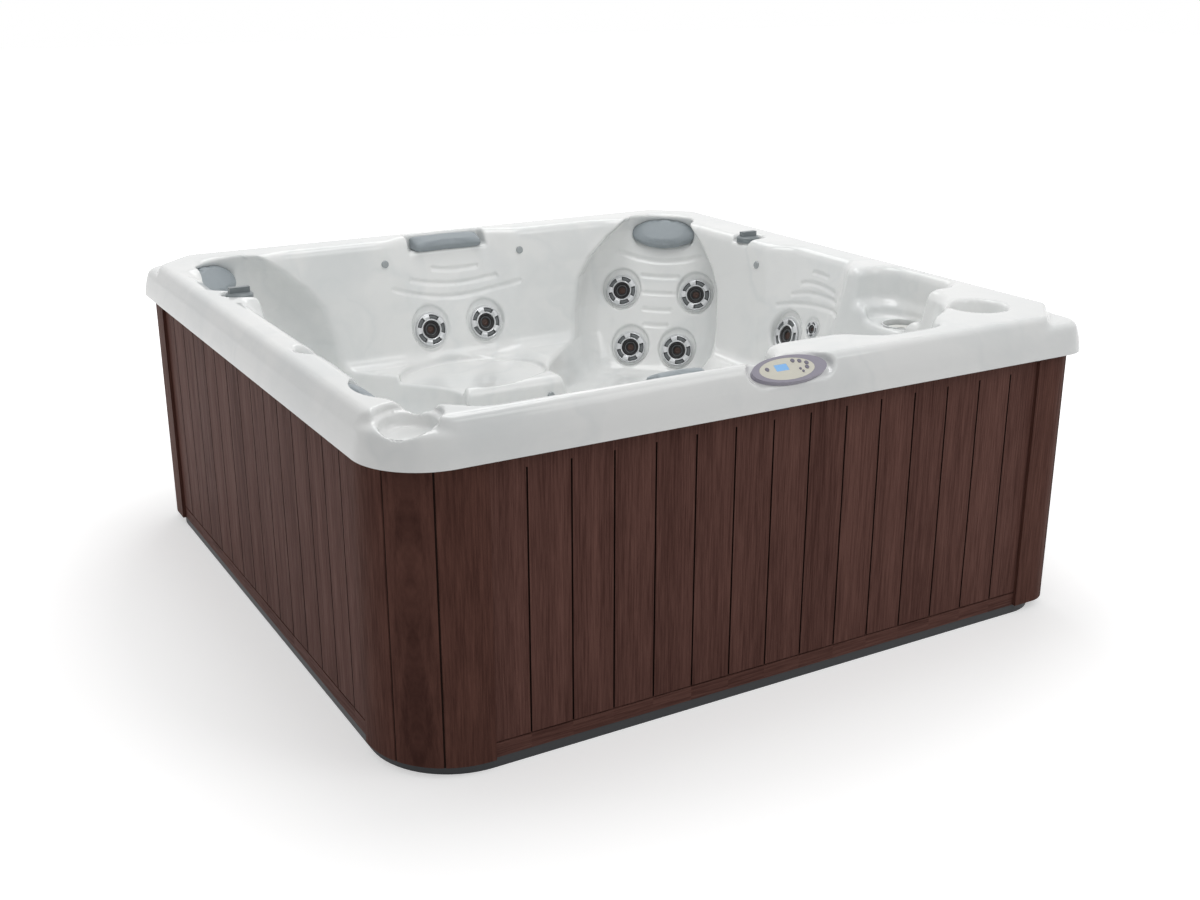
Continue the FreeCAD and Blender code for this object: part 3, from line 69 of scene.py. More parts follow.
class NodeSketch:
    """A small helper that adds and links nodes in one tree."""

    def __init__(self, tree: bpy.types.NodeTree) -> None:
        """Keep the tree to draw in."""
        self.tree = tree

    def add(self, kind: str, inputs: dict | None = None, **props: object) -> Node:
        """Add one node.

        Args:
            kind: The node's type name.
            inputs: Values or output sockets by input name or number.
            props: Properties to set on the node.

        Returns:
            The new node.
        """
        node = self.tree.nodes.new(kind)
        for name, value in props.items():
            setattr(node, name, value)
        for key, value in (inputs or {}).items():
            if isinstance(value, Socket):
                self.tree.links.new(value, node.inputs[key])
            else:
                node.inputs[key].default_value = value
        return node

    def link(self, start: Socket, end: Socket) -> None:
        """Join two sockets."""
        self.tree.links.new(start, end)

    def own(self, kind: str) -> Node:
        """Give the node of a kind that the tree came with, such as its shader."""
        return next(node for node in self.tree.nodes if node.type == kind)

    def place(self) -> Socket:
        """Give the object's own coordinates."""
        return self.add("ShaderNodeTexCoord").outputs["Object"]

    def math(self, operation: str, first: object, second: object = 0.0) -> Socket:
        """Work out one operation on two numbers or sockets."""
        return self.add("ShaderNodeMath", {0: first, 1: second}, operation=operation).outputs[0]

    def plus(self, first: object, second: object) -> Socket:
        """Add two numbers or sockets."""
        return self.math("ADD", first, second)

    def minus(self, first: object, second: object) -> Socket:
        """Subtract the second number or socket from the first."""
        return self.math("SUBTRACT", first, second)

    def times(self, first: object, second: object) -> Socket:
        """Multiply two numbers or sockets."""
        return self.math("MULTIPLY", first, second)

    def size(self, value: Socket) -> Socket:
        """Drop a value's sign."""
        return self.math("ABSOLUTE", value)

    def noise(self, spot: Socket, scale: object, detail: float, roughness: float = 0.5) -> Socket:
        """Give the value of a noise texture."""
        return self.add("ShaderNodeTexNoise", {"Vector": spot, "Scale": scale, "Detail": detail,
                                               "Roughness": roughness}).outputs["Fac"]

    def ramp(self, source: Socket, low: float, high: float, start: float = 0.0, end: float = 1.0) -> Socket:
        """Map a value from low and high to start and end, held at the ends."""
        return self.add("ShaderNodeMapRange", {0: source, 1: low, 2: high, 3: start, 4: end}).outputs[0]

    def mix(self, share: Socket, first: object, second: object) -> Socket:
        """Mix two colours by the share of the second."""
        return self.add("ShaderNodeMix", {0: share, 6: first, 7: second}, data_type="RGBA").outputs[2]


class Effect(Enum):
    """Shader effects that several finishes share."""

    MOULDED = "moulded_skin"
    GRAIN = "board_grain"
    MARBLE = "pearl_marbling"


class EffectLibrary:
    """Builds each shared shader group once."""

    def __init__(self) -> None:
        """Start with no groups built."""
        self.groups: dict[Effect, ShaderTree] = {}

    def group(self, effect: Effect) -> ShaderTree:
        """Give a shared group, building it the first time.

        Args:
            effect: Which effect.

        Returns:
            The shader node group.
        """
        if effect not in self.groups:
            builder = {Effect.MOULDED: self._moulded, Effect.GRAIN: self._grain, Effect.MARBLE: self._marble}
            self.groups[effect] = builder[effect]()
        return self.groups[effect]

    @staticmethod
    def _new(effect: Effect, inputs: dict, outputs: Sequence[str]) -> tuple[NodeSketch, dict, dict]:
        """Make an empty group with its sockets.

        Args:
            effect: Which effect.
            inputs: Default values by input name; a tuple is a colour.
            outputs: Output names; all but the colour are plain values.

        Returns:
            The sketch, the group's input sockets and its output sockets.
        """
        tree = bpy.data.node_groups.new(effect.value, "ShaderNodeTree")
        for name, value in inputs.items():
            kind = "NodeSocketColor" if isinstance(value, tuple) else "NodeSocketFloat"
            tree.interface.new_socket(name, in_out="INPUT", socket_type=kind).default_value = value
        for name in outputs:
            kind = "NodeSocketColor" if name == "Colour" else "NodeSocketFloat"
            tree.interface.new_socket(name, in_out="OUTPUT", socket_type=kind)
        sketch = NodeSketch(tree)
        entry = sketch.add("NodeGroupInput")
        leave = sketch.add("NodeGroupOutput")
        return sketch, {s.name: s for s in entry.outputs}, {s.name: s for s in leave.inputs}

    def _moulded(self) -> ShaderTree:
        """Moulded plastic: slight mottling of the colour, roughness and surface.

        Returns:
            The group.
        """
        fine_ratio = 14.0
        sketch, given, out = self._new(
            Effect.MOULDED, {"Colour": (0.5, 0.5, 0.5, 1.0), "Variation": 0.06, "Scale": 60.0,
                             "Roughness": 0.4, "Spread": 0.1},
            ("Colour", "Roughness", "Height"))
        place = sketch.place()
        broad = sketch.noise(place, given["Scale"], detail=3.0)
        fine = sketch.noise(place, sketch.times(given["Scale"], fine_ratio), detail=2.0)
        swing = sketch.times(sketch.minus(broad, 0.5), given["Variation"])
        value = sketch.plus(1.0, sketch.times(swing, 2.0))
        tint = sketch.add("ShaderNodeHueSaturation", {"Color": given["Colour"], "Value": value})
        sketch.link(tint.outputs["Color"], out["Colour"])
        rough = sketch.times(sketch.minus(fine, 0.5), given["Spread"])
        sketch.link(sketch.plus(given["Roughness"], rough), out["Roughness"])
        sketch.link(fine, out["Height"])
        return sketch.tree

    def _grain(self) -> ShaderTree:
        """Embossed wood grain: upright on the boards, level on the skirting below them, with painted shade in
        the seams between the upright boards.

        Returns:
            The group.
        """
        # Painted shade: the seams between boards are mixed towards near black at this share, where the
        # grooves in the solids lie in shade.
        seam_shade_colour, seam_share = (0.006, 0.003, 0.002, 1.0), 0.9
        wander_scale, line_scale, line_share = 0.35, 2.6, 0.66
        board_jump, board_share = 37.0, 0.2
        sketch, given, out = self._new(
            Effect.GRAIN,
            {"Light": (0.2, 0.1, 0.08, 1.0), "Dark": (0.08, 0.04, 0.03, 1.0), "Pitch": 0.1145, "Skirt": 0.0,
             "Across": 140.0, "Along": 5.0, "Seam": 0.0, "Seam Top": 0.743, "Middle": 0.0},
            ("Colour", "Roughness", "Height"))
        x, y, z = sketch.add("ShaderNodeSeparateXYZ", {0: sketch.place()}).outputs
        run = sketch.plus(x, y)
        low = sketch.math("LESS_THAN", z, given["Skirt"])
        high = sketch.minus(1.0, low)
        across = sketch.plus(sketch.times(run, high), sketch.times(z, low))
        along = sketch.plus(sketch.times(z, high), sketch.times(run, low))
        side = sketch.math("GREATER_THAN", sketch.size(x), sketch.size(y))
        flat = sketch.plus(sketch.times(y, side), sketch.times(x, sketch.minus(1.0, side)))
        count = sketch.plus(sketch.math("DIVIDE", sketch.minus(flat, given["Middle"]), given["Pitch"]), 0.5)
        number = sketch.math("FLOOR", count)
        inset = sketch.minus(0.5, sketch.size(sketch.minus(sketch.minus(count, number), 0.5)))
        # Mask of the painted seam shade: a thin line at each board's edge, on the upright boards only.
        gap = sketch.math("LESS_THAN", sketch.times(inset, given["Pitch"]), given["Seam"])
        upright = sketch.times(high, sketch.math("LESS_THAN", z, given["Seam Top"]))
        seam = sketch.times(sketch.times(gap, upright), seam_share)
        board = sketch.add("ShaderNodeTexWhiteNoise", {"W": number}, noise_dimensions="1D").outputs["Value"]
        shift = sketch.times(board, board_jump)
        spot = sketch.add("ShaderNodeCombineXYZ", {
            0: sketch.times(across, given["Across"]),
            1: sketch.plus(sketch.times(along, given["Along"]), shift), 2: shift}).outputs[0]
        wander = sketch.noise(spot, wander_scale, detail=5.0, roughness=0.6)
        lines = sketch.noise(spot, line_scale, detail=4.0, roughness=0.7)
        blend = sketch.plus(sketch.times(wander, 1 - line_share), sketch.times(lines, line_share))
        share = sketch.ramp(blend, 0.38, 0.64)
        tone = sketch.plus(sketch.times(share, 1 - board_share), sketch.times(board, board_share))
        wood = sketch.mix(tone, given["Dark"], given["Light"])
        sketch.link(sketch.mix(seam, wood, seam_shade_colour), out["Colour"])
        sketch.link(sketch.ramp(share, 0.0, 1.0, 0.64, 0.5), out["Roughness"])
        sketch.link(share, out["Height"])
        return sketch.tree

    def _marble(self) -> ShaderTree:
        """Faint clouds and veins of cast acrylic.

        Returns:
            The group.
        """
        vein_scale, vein_width, vein_share = 2.2, 0.05, 0.55
        sketch, given, out = self._new(
            Effect.MARBLE, {"Light": (0.8, 0.8, 0.8, 1.0), "Shade": (0.7, 0.7, 0.7, 1.0), "Scale": 3.0},
            ("Colour", "Roughness"))
        place = sketch.place()
        bend = sketch.add("ShaderNodeTexNoise", {"Vector": place, "Scale": given["Scale"], "Detail": 4.0})
        pull = sketch.add("ShaderNodeVectorMath", {0: bend.outputs["Color"], 1: (0.5, 0.5, 0.5)},
                          operation="MULTIPLY").outputs[0]
        moved = sketch.add("ShaderNodeVectorMath", {0: place, 1: pull}, operation="ADD").outputs[0]
        cloud = sketch.noise(moved, given["Scale"], detail=5.0, roughness=0.55)
        vein = sketch.size(sketch.minus(sketch.noise(moved, vein_scale, detail=3.0), 0.5))
        streak = sketch.ramp(vein, 0.0, vein_width, vein_share, 0.0)
        share = sketch.math("MAXIMUM", sketch.ramp(cloud, 0.46, 0.72), streak)
        sketch.link(sketch.mix(share, given["Light"], given["Shade"]), out["Colour"])
        sketch.link(sketch.ramp(cloud, 0.3, 0.7, 0.1, 0.16), out["Roughness"])
        return sketch.tree


EFFECTS = EffectLibrary()


# Finishes

def rgba(colour: Colour) -> tuple[float, float, float, float]:
    """Give a colour its full alpha."""
    return (*colour, 1.0)


def srgb(*channels: int) -> Colour:
    """Turn a screen colour, red, green and blue from 0 to 255, into a linear one.

    Args:
        channels: The three screen values.

    Returns:
        The linear colour.
    """
    shares = [value / 255 for value in channels]
    return tuple(s / 12.92 if s <= 0.04045 else ((s + 0.055) / 1.055) ** 2.4 for s in shares)


class Finish:
    """A surface finish that makes its material once."""

    name: str

    def material(self) -> bpy.types.Material:
        """Give the finish's material, making it the first time.

        Returns:
            The material.
        """
        title = f"{self.name}_finish"
        found = bpy.data.materials.get(title)
        if found:
            return found
        made = bpy.data.materials.new(title)
        made.use_nodes = True
        sketch = NodeSketch(made.node_tree)
        self.draw(sketch, sketch.own("BSDF_PRINCIPLED"))
        return made

    def draw(self, sketch: NodeSketch, shader: Node) -> None:
        """Draw the finish's nodes into its material."""
        raise NotImplementedError

    @staticmethod
    def feed(sketch: NodeSketch, shader: Node, effect: Effect, values: dict) -> dict[str, Socket]:
        """Give the shader a shared effect's colour and roughness.

        Args:
            sketch: The material's tree.
            shader: The material's main shader.
            effect: Which effect.
            values: The effect's input values by name.

        Returns:
            The effect's outputs by name.
        """
        group = sketch.add("ShaderNodeGroup", values, node_tree=EFFECTS.group(effect))
        skin = {socket.name: socket for socket in group.outputs}
        sketch.link(skin["Colour"], shader.inputs["Base Color"])
        sketch.link(skin["Roughness"], shader.inputs["Roughness"])
        return skin

    @staticmethod
    def emboss(sketch: NodeSketch, shader: Node, height: Socket, strength: float, reach: float) -> None:
        """Raise the surface by a height, up to a reach in metres."""
        bump = sketch.add("ShaderNodeBump", {"Height": height, "Strength": strength, "Distance": reach})
        sketch.link(bump.outputs[0], shader.inputs["Normal"])

    def dress(self, *pieces: Piece) -> None:
        """Give pieces this finish all over.

        Args:
            pieces: The pieces.
        """
        for piece in pieces:
            piece.data.materials.clear()
            piece.data.materials.append(self.material())


@dataclass(frozen=True)
class Moulded(Finish):
    """Plain moulded plastic, painted metal or rubber."""

    name: str
    colour: Colour
    roughness: float = 0.4
    spread: float = 0.1
    variation: float = 0.06
    scale: float = 60.0
    bump: float = 0.05
    bump_reach: float = 0.002
    metallic: float = 0.0
    coat: float = 0.0
    glow: float = 0.0

    def draw(self, sketch: NodeSketch, shader: Node) -> None:
        """Draw the moulded finish.

        Args:
            sketch: The material's tree.
            shader: The material's main shader.
        """
        skin = self.feed(sketch, shader, Effect.MOULDED, {
            "Colour": rgba(self.colour), "Variation": self.variation, "Scale": self.scale,
            "Roughness": self.roughness, "Spread": self.spread})
        self.emboss(sketch, shader, skin["Height"], self.bump, self.bump_reach)
        shader.inputs["Metallic"].default_value = self.metallic
        shader.inputs["Coat Weight"].default_value = self.coat
        if self.glow:
            sketch.link(skin["Colour"], shader.inputs["Emission Color"])
            shader.inputs["Emission Strength"].default_value = self.glow


@dataclass(frozen=True)
class Board(Finish):
    """Grained boards with painted shade in their seams, over a level-grained skirting; heights and widths in
    metres.
    """

    name: str
    light: Colour
    dark: Colour
    skirt: float = 0.0
    along: float = 2.6
    across: float = 84.0
    sheen: float = 0.05
    seam: float = 0.0
    seam_top: float = 0.743
    pitch: float = 0.1145
    middle: float = 0.0
    bump: float = 0.22
    bump_reach: float = 0.001

    def draw(self, sketch: NodeSketch, shader: Node) -> None:
        """Draw the board finish.

        Args:
            sketch: The material's tree.
            shader: The material's main shader.
        """
        skin = self.feed(sketch, shader, Effect.GRAIN, {
            "Light": rgba(self.light), "Dark": rgba(self.dark), "Skirt": self.skirt, "Along": self.along,
            "Across": self.across, "Seam": self.seam, "Seam Top": self.seam_top, "Pitch": self.pitch,
            "Middle": self.middle})
        self.emboss(sketch, shader, skin["Height"], self.bump, self.bump_reach)
        shader.inputs["Specular IOR Level"].default_value = self.sheen


@dataclass(frozen=True)
class Acrylic(Finish):
    """Cast acrylic: glossy, pearl white, faintly marbled."""

    name: str
    light: Colour
    shade: Colour
    scale: float = 2.6
    coat: float = 0.25
    coat_roughness: float = 0.04

    def draw(self, sketch: NodeSketch, shader: Node) -> None:
        """Draw the acrylic finish.

        Args:
            sketch: The material's tree.
            shader: The material's main shader.
        """
        self.feed(sketch, shader, Effect.MARBLE, {
            "Light": rgba(self.light), "Shade": rgba(self.shade), "Scale": self.scale})
        shader.inputs["Coat Weight"].default_value = self.coat
        shader.inputs["Coat Roughness"].default_value = self.coat_roughness


SHELL_ACRYLIC = Acrylic("shell_acrylic", srgb(239, 240, 239), srgb(227, 230, 230))
CABINET_BOARD = Board("cabinet_board", srgb(116, 82, 74), srgb(72, 46, 41), skirt=0.068, seam=0.0024)
CORNER_BOARD = Board("corner_board", srgb(106, 72, 63), srgb(66, 41, 36), seam=0.0023, seam_top=1.0)
FRAME_TIMBER = Board("frame_timber", srgb(206, 170, 122), srgb(165, 126, 84))
BASE_PLASTIC = Moulded("base_plastic", srgb(48, 50, 53), 0.5)
PILLOW_SKIN = Moulded("pillow_skin", srgb(150, 158, 163), 0.55, 0.12, 0.05, 40.0, 0.12)
JET_CHROME = Moulded("jet_chrome", srgb(214, 216, 218), 0.26, 0.06, 0.02, 80.0, 0.01, metallic=0.35, coat=0.3)
JET_DARK = Moulded("jet_dark", srgb(16, 16, 18), 0.45, 0.08)
JET_WINDOW = Moulded("jet_window", srgb(104, 108, 110), 0.3, 0.08)
JET_GREY = Moulded("jet_grey", srgb(96, 98, 100), 0.3)
JET_CORE = Moulded("jet_core", srgb(56, 32, 20), 0.5)
FITTING_PLASTIC = Moulded("fitting_plastic", srgb(222, 224, 224), 0.3)
KNOB_PLASTIC = Moulded("knob_plastic", srgb(128, 135, 138), 0.4)
LIGHT_LENS = Moulded("light_lens", srgb(160, 166, 168), 0.2, coat=0.5)
BEZEL_PLASTIC = Moulded("bezel_plastic", srgb(150, 146, 160), 0.32, coat=0.3)
FACE_PLASTIC = Moulded("face_plastic", srgb(219, 216, 203), 0.42)
DISPLAY_GLASS = Moulded("display_glass", srgb(120, 174, 226), 0.15, coat=0.6, glow=0.25)
KEY_PLASTIC = Moulded("key_plastic", srgb(122, 119, 134), 0.4)
PIPE_PLASTIC = Moulded("pipe_plastic", srgb(226, 228, 228), 0.35)
MOTOR_PAINT = Moulded("motor_paint", srgb(46, 48, 52), 0.35, coat=0.3)
BOX_METAL = Moulded("box_metal", srgb(120, 122, 126), 0.4, metallic=0.3)
HEATER_STEEL = Moulded("heater_steel", (0.62, 0.62, 0.62), 0.3, metallic=1.0)
COVER_PLASTIC = Moulded("cover_plastic", srgb(128, 132, 136), 0.4)
FOAM_BLOCK = Moulded("foam_block", srgb(226, 214, 180), 0.85, bump=0.4)
FILTER_CLOTH = Moulded("filter_cloth", srgb(232, 232, 228), 0.8, bump=0.3)


# Distance fields, negative inside, in millimetres

def smooth_min(first: Array, second: Array, reach: float) -> Array:
    """Join two distance fields with a rounded seam."""
    blend = np.maximum(reach - np.abs(first - second), 0) / reach
    return np.minimum(first, second) - blend * blend * reach * 0.25


def smooth_max(first: Array, second: Array, reach: float) -> Array:
    """Intersect two distance fields with a rounded seam."""
    return -smooth_min(-first, -second, reach)


def carve(first: Array, second: Array, reach: float) -> Array:
    """Cut the second distance field out of the first with a rounded edge."""
    return smooth_max(first, -second, reach)


def rounded_rectangle(u: Array, v: Array, sides: Sequence, corners: Sequence) -> Array:
    """Distance to a rectangle with four round corners.

    Args:
        u: First coordinates.
        v: Second coordinates.
        sides: Low u, high u, low v and high v.
        corners: Radii at low-low, high-low, high-high and low-high.

    Returns:
        The distances.
    """
    u0, u1, v0, v1 = sides
    across = u - (u0 + u1) * 0.5
    along = v - (v0 + v1) * 0.5
    radius = np.where(across < 0, np.where(along < 0, corners[0], corners[3]),
                      np.where(along < 0, corners[1], corners[2]))
    qx = np.abs(across) - (u1 - u0) * 0.5 + radius
    qy = np.abs(along) - (v1 - v0) * 0.5 + radius
    outside = np.hypot(np.maximum(qx, 0), np.maximum(qy, 0))
    return np.minimum(np.maximum(qx, qy), 0) + outside - radius


def heading(turn: float) -> tuple[float, float]:
    """X and y of a level direction, given in degrees from +X."""
    return math.cos(math.radians(turn)), math.sin(math.radians(turn))


def turned(turn: float, x: Array, y: Array) -> tuple[Array, Array]:
    """Coordinates outwards along a direction, and sideways from it."""
    c, s = heading(turn)
    return x * c + y * s, y * c - x * s


def turned_box(turn: float, sides: Sequence) -> Sizes:
    """Box round a rectangle that is turned about the tub's middle.

    Args:
        turn: Outward direction in degrees from +X.
        sides: Least and most reach outwards, then sideways.

    Returns:
        Low x, high x, low y and high y.
    """
    c, s = heading(turn)
    us, vs = np.meshgrid(sides[:2], sides[2:])
    xs, ys = us * c - vs * s, us * s + vs * c
    return xs.min(), xs.max(), ys.min(), ys.max()


def square_box(at: Sequence, pad: float) -> Sizes:
    """Low x, high x, low y and high y of a square round a point."""
    return at[0] - pad, at[0] + pad, at[1] - pad, at[1] + pad


def unit(way: Sequence) -> Array:
    """A direction of length 1."""
    return np.array(way, float) / np.linalg.norm(way)


# Hollows of the formed shell

RIM_TOP = 892.0
SEAT_LEVEL = 470.0
# How far past its own outline a seat can still matter: sideways, behind its back and below its floor.
SIDE_PAD, BACK_PAD, FLOOR_PAD = 60.0, 90.0, 80.0
# Floor of the cups and pillow notches, and the level below which they no longer matter.
DISH_FLOOR, DISH_REACH = 838.0, 800.0
NEAR_CUP = (-953.0, -953.0)
FILTER_WELL = (913.0, -440.0)
FILTER_FLOOR = 741.0
UPRIGHT = (0, 0, 1)


@dataclass(kw_only=True)
class Hollow:
    """One hollow of the shell: where it can matter, and how softly it joins."""

    name: str
    soft: float
    box: Sizes = field(init=False)
    floor: float = field(init=False)

    def depth(self, x: Array, y: Array, z: Array) -> Array:
        """Distance to the hollow's wall, negative in its air."""
        raise NotImplementedError

    def touches(self, low: Array, high: Array) -> bool:
        """Whether a block of space is near this hollow.

        Args:
            low, high: Corners of the block.

        Returns:
            True where the hollow can matter.
        """
        x0, x1, y0, y1 = self.box
        inside = low[0] <= x1 and high[0] >= x0 and low[1] <= y1 and high[1] >= y0
        return bool(inside and high[2] >= self.floor)

    def join(self, value: Array, spots: Spots, block: Spots | None, mix: Callable) -> Array:
        """Blend the hollow into a field where it can matter.

        Args:
            value: The field so far.
            spots: X, y and z coordinates.
            block: Lowest and highest corner of the points, if they fill one block.
            mix: Function that blends two fields over a reach.

        Returns:
            The blended field.
        """
        if block is not None:
            return mix(value, self.depth(*spots), self.soft) if self.touches(*block) else value
        x, y, z = spots
        x0, x1, y0, y1 = self.box
        here = (x >= x0) & (x <= x1) & (y >= y0) & (y <= y1) & (z >= self.floor)
        if here.any():
            value[here] = mix(value[here], self.depth(x[here], y[here], z[here]), self.soft)
        return value


@dataclass(kw_only=True)
class SidedHollow(Hollow):
    """A hollow with a flat floor and four sides; turn is its outward direction in degrees from +X."""

    turn: float = 0.0
    low: float
    soft_floor: float

    def outline(self, z: Array) -> tuple[Sequence, Sequence]:
        """Sides, outwards and sideways, and corner radii at the given levels."""
        raise NotImplementedError

    def depth(self, x: Array, y: Array, z: Array) -> Array:
        """Distance field of the hollow."""
        plan = rounded_rectangle(*turned(self.turn, x, y), *self.outline(z))
        return smooth_max(plan, self.low - z, self.soft_floor)


@dataclass(kw_only=True)
class TaperedHollow(SidedHollow):
    """An open hollow whose walls lean outwards by a draft."""

    high: float = RIM_TOP
    draft: float
    sides: Sizes
    corners: Sizes

    def __post_init__(self) -> None:
        """Work out where the hollow can matter."""
        self.box = tuple(side + pad for side, pad in zip(self.sides, (-BACK_PAD, BACK_PAD) * 2))
        self.floor = self.low - FLOOR_PAD

    def outline(self, z: Array) -> tuple[Sequence, Sequence]:
        """Sides and corner radii, leaning out towards the top."""
        lean = self.draft * (1 - np.maximum((z - self.low) / (self.high - self.low), 0))
        return [side + sign * lean for side, sign in zip(self.sides, (1, -1, 1, -1))], self.corners


@dataclass(kw_only=True)
class RakedSeat(SidedHollow):
    """A seat with a raked back: its reach at foot and head, and its sideways middle and half width."""

    foot: float
    head: float
    centre: float
    half: float
    mouth: float = 520.0
    low: float = 458.0
    flare: float = 30.0
    corner: float = 90.0
    soft_floor: float = 60.0
    soft: float = 50.0

    def __post_init__(self) -> None:
        """Work out where the seat can matter."""
        wide = self.half + abs(self.flare) + SIDE_PAD
        self.box = turned_box(self.turn, (self.mouth - SIDE_PAD, self.head + BACK_PAD,
                                          self.centre - wide, self.centre + wide))
        self.floor = self.low - FLOOR_PAD

    def outline(self, z: Array) -> tuple[Sequence, Sequence]:
        """Sides and corner radii, with the back raked.

        Args:
            z: Levels.

        Returns:
            Sides, and radii.
        """
        share = np.maximum((z - self.low) / (RIM_TOP - self.low), 0)
        wide = self.half + self.flare * share
        back = self.foot + (self.head - self.foot) * share
        return (self.mouth, back, self.centre - wide, self.centre + wide), (self.corner,) * 4


@dataclass(kw_only=True)
class Bucket(SidedHollow):
    """A deep corner seat whose sides draw together towards the pillow."""

    low: float = 315.0
    levels: Sizes = (315.0, 460.0, 560.0, 690.0, 762.0, 830.0, 874.0, RIM_TOP)
    halves: Sizes = (225.0, 268.0, 276.0, 268.0, 238.0, 186.0, 140.0, 112.0)
    mouth: float = 400.0
    mouth_corner: float = 200.0
    back_corner: float = 130.0
    foot: float = 1044.0
    rake: float = 213.0
    soft_floor: float = 80.0
    soft: float = 14.0
    near: float = 60.0
    far: float = 1030.0

    def __post_init__(self) -> None:
        """Work out where the seat can matter."""
        xs = sorted(math.copysign(edge, heading(self.turn)[0]) for edge in (self.near, self.far))
        self.box = (*xs, self.near, self.far)
        self.floor = self.low - FLOOR_PAD

    def outline(self, z: Array) -> tuple[Sequence, Sequence]:
        """Sides and corner radii, drawn together towards the top.

        Args:
            z: Levels.

        Returns:
            Sides, and radii.
        """
        level = np.maximum(z, self.low)
        half = np.interp(level, self.levels, self.halves)
        mouth = np.minimum(self.mouth_corner, half)
        corner = np.minimum(self.back_corner, half)
        reach = self.foot + self.rake * (level - self.low) / (RIM_TOP - self.low)
        return (self.mouth, reach, -half, half), (mouth, corner, corner, mouth)


@dataclass(kw_only=True)
class CornerSteps(Hollow):
    """Low steps across the four corners of the rim."""

    name: str = "steps"
    soft: float = 18.0
    reach: float = 1369.0
    level: float = 865.0
    soft_floor: float = 20.0
    span: float = 1100.0
    pad: float = 35.0

    def __post_init__(self) -> None:
        """Work out where the steps can matter."""
        self.box = square_box((0, 0), self.span)
        self.floor = self.level - self.pad

    def depth(self, x: Array, y: Array, z: Array) -> Array:
        """Distance field of the steps."""
        across = (np.abs(x) + np.abs(y)) * math.sqrt(0.5)
        return smooth_max(self.reach - across, self.level - z, self.soft_floor)


@dataclass(kw_only=True)
class Cup(Hollow):
    """A round cup dish that flares towards its mouth."""

    at: Sizes
    radius: float
    flare_share: float = 0.12
    soft_floor: float = 16.0
    soft: float = 14.0
    pad: float = 50.0

    def __post_init__(self) -> None:
        """Work out where the dish can matter."""
        self.box = square_box(self.at, self.radius + self.pad)
        self.floor = DISH_REACH

    def depth(self, x: Array, y: Array, z: Array) -> Array:
        """Distance field of the dish."""
        ring = np.hypot(x - self.at[0], y - self.at[1]) - self.radius
        return smooth_max(ring - (z - DISH_FLOOR) * self.flare_share, DISH_FLOOR - z, self.soft_floor)


@dataclass(kw_only=True)
class Bore(Hollow):
    """An upright round hole."""

    at: Sizes
    radius: float
    low: float
    pad: float = 30.0

    def __post_init__(self) -> None:
        """Work out where the hole can matter."""
        self.box = square_box(self.at, self.radius + self.pad)
        self.floor = self.low - self.pad

    def depth(self, x: Array, y: Array, z: Array) -> Array:
        """Distance field of the hole."""
        return np.maximum(np.hypot(x - self.at[0], y - self.at[1]) - self.radius, self.low - z)


@dataclass(kw_only=True)
class Notch(SidedHollow):
    """A notch in the rim for a straight pillow: its reach outwards, sideways middle and half width."""

    low: float = DISH_FLOOR
    reach: float
    centre: float
    half: float
    mouth: float = 800.0
    corner: float = 14.0
    soft_floor: float = 12.0
    soft: float = 12.0
    pad: float = 40.0

    def __post_init__(self) -> None:
        """Work out where the notch can matter."""
        wide = self.half + self.pad
        self.box = turned_box(self.turn, (self.mouth - self.pad / 2, self.reach + self.pad,
                                          self.centre - wide, self.centre + wide))
        self.floor = DISH_REACH

    def outline(self, z: Array) -> tuple[Sequence, Sequence]:
        """Sides and corner radii, the same at every level."""
        sides = (self.mouth, self.reach, self.centre - self.half, self.centre + self.half)
        return sides, (self.corner,) * 4


@dataclass(kw_only=True)
class Pocket(Hollow):
    """An elliptic pocket: middle of its floor, direction out of it, direction of its width, and its sizes."""

    base: Sequence
    axis: Sequence
    side: Sequence
    half_wide: float
    half_tall: float
    length: float
    soft_floor: float
    pad: float = 30.0

    def __post_init__(self) -> None:
        """Square up the directions, and work out where the pocket can matter."""
        self.axis, self.side = unit(self.axis), unit(self.side)
        pad = max(self.half_wide, self.half_tall) + self.length + self.pad
        self.box = square_box(self.base, pad)
        self.floor = self.base[2] - pad

    def depth(self, x: Array, y: Array, z: Array) -> Array:
        """Distance field of the pocket.

        Args:
            x, y, z: Coordinates.

        Returns:
            The distances.
        """
        dx, dy, dz = x - self.base[0], y - self.base[1], z - self.base[2]
        wide, tall, out = (dx * way[0] + dy * way[1] + dz * way[2]
                           for way in (self.side, np.cross(self.axis, self.side), self.axis))
        a, b = wide / self.half_wide, tall / self.half_tall
        ring = np.hypot(a, b)
        slope = np.hypot(a / self.half_wide, b / self.half_tall)
        plan = ring * (ring - 1) / np.maximum(slope, FLATTEST)
        plan = np.maximum(plan, -min(self.half_wide, self.half_tall))
        return np.maximum(smooth_max(plan, -out, self.soft_floor), out - self.length)


@dataclass(kw_only=True)
class Groove(Hollow):
    """A shallow groove that a round tool cuts along a line of points on the surface."""

    path: Array
    radius: float
    soft: float = 5.0
    pad: float = 20.0

    def __post_init__(self) -> None:
        """Work out where the groove can matter."""
        low, high = self.path.min(0) - self.radius - self.pad, self.path.max(0) + self.radius + self.pad
        self.box = (low[0], high[0], low[1], high[1])
        self.floor = low[2]

    def depth(self, x: Array, y: Array, z: Array) -> Array:
        """Distance field of the groove.

        Args:
            x, y, z: Coordinates.

        Returns:
            The distances.
        """
        best = np.full(np.shape(x), np.inf)
        for start, end in zip(self.path[:-1], self.path[1:]):
            run = end - start
            t = ((x - start[0]) * run[0] + (y - start[1]) * run[1] + (z - start[2]) * run[2]) / (run @ run)
            t = np.clip(t, 0, 1)
            gap = ((x - start[0] - run[0] * t) ** 2 + (y - start[1] - run[1] * t) ** 2
                   + (z - start[2] - run[2] * t) ** 2)
            best = np.minimum(best, gap)
        return np.sqrt(best) - self.radius


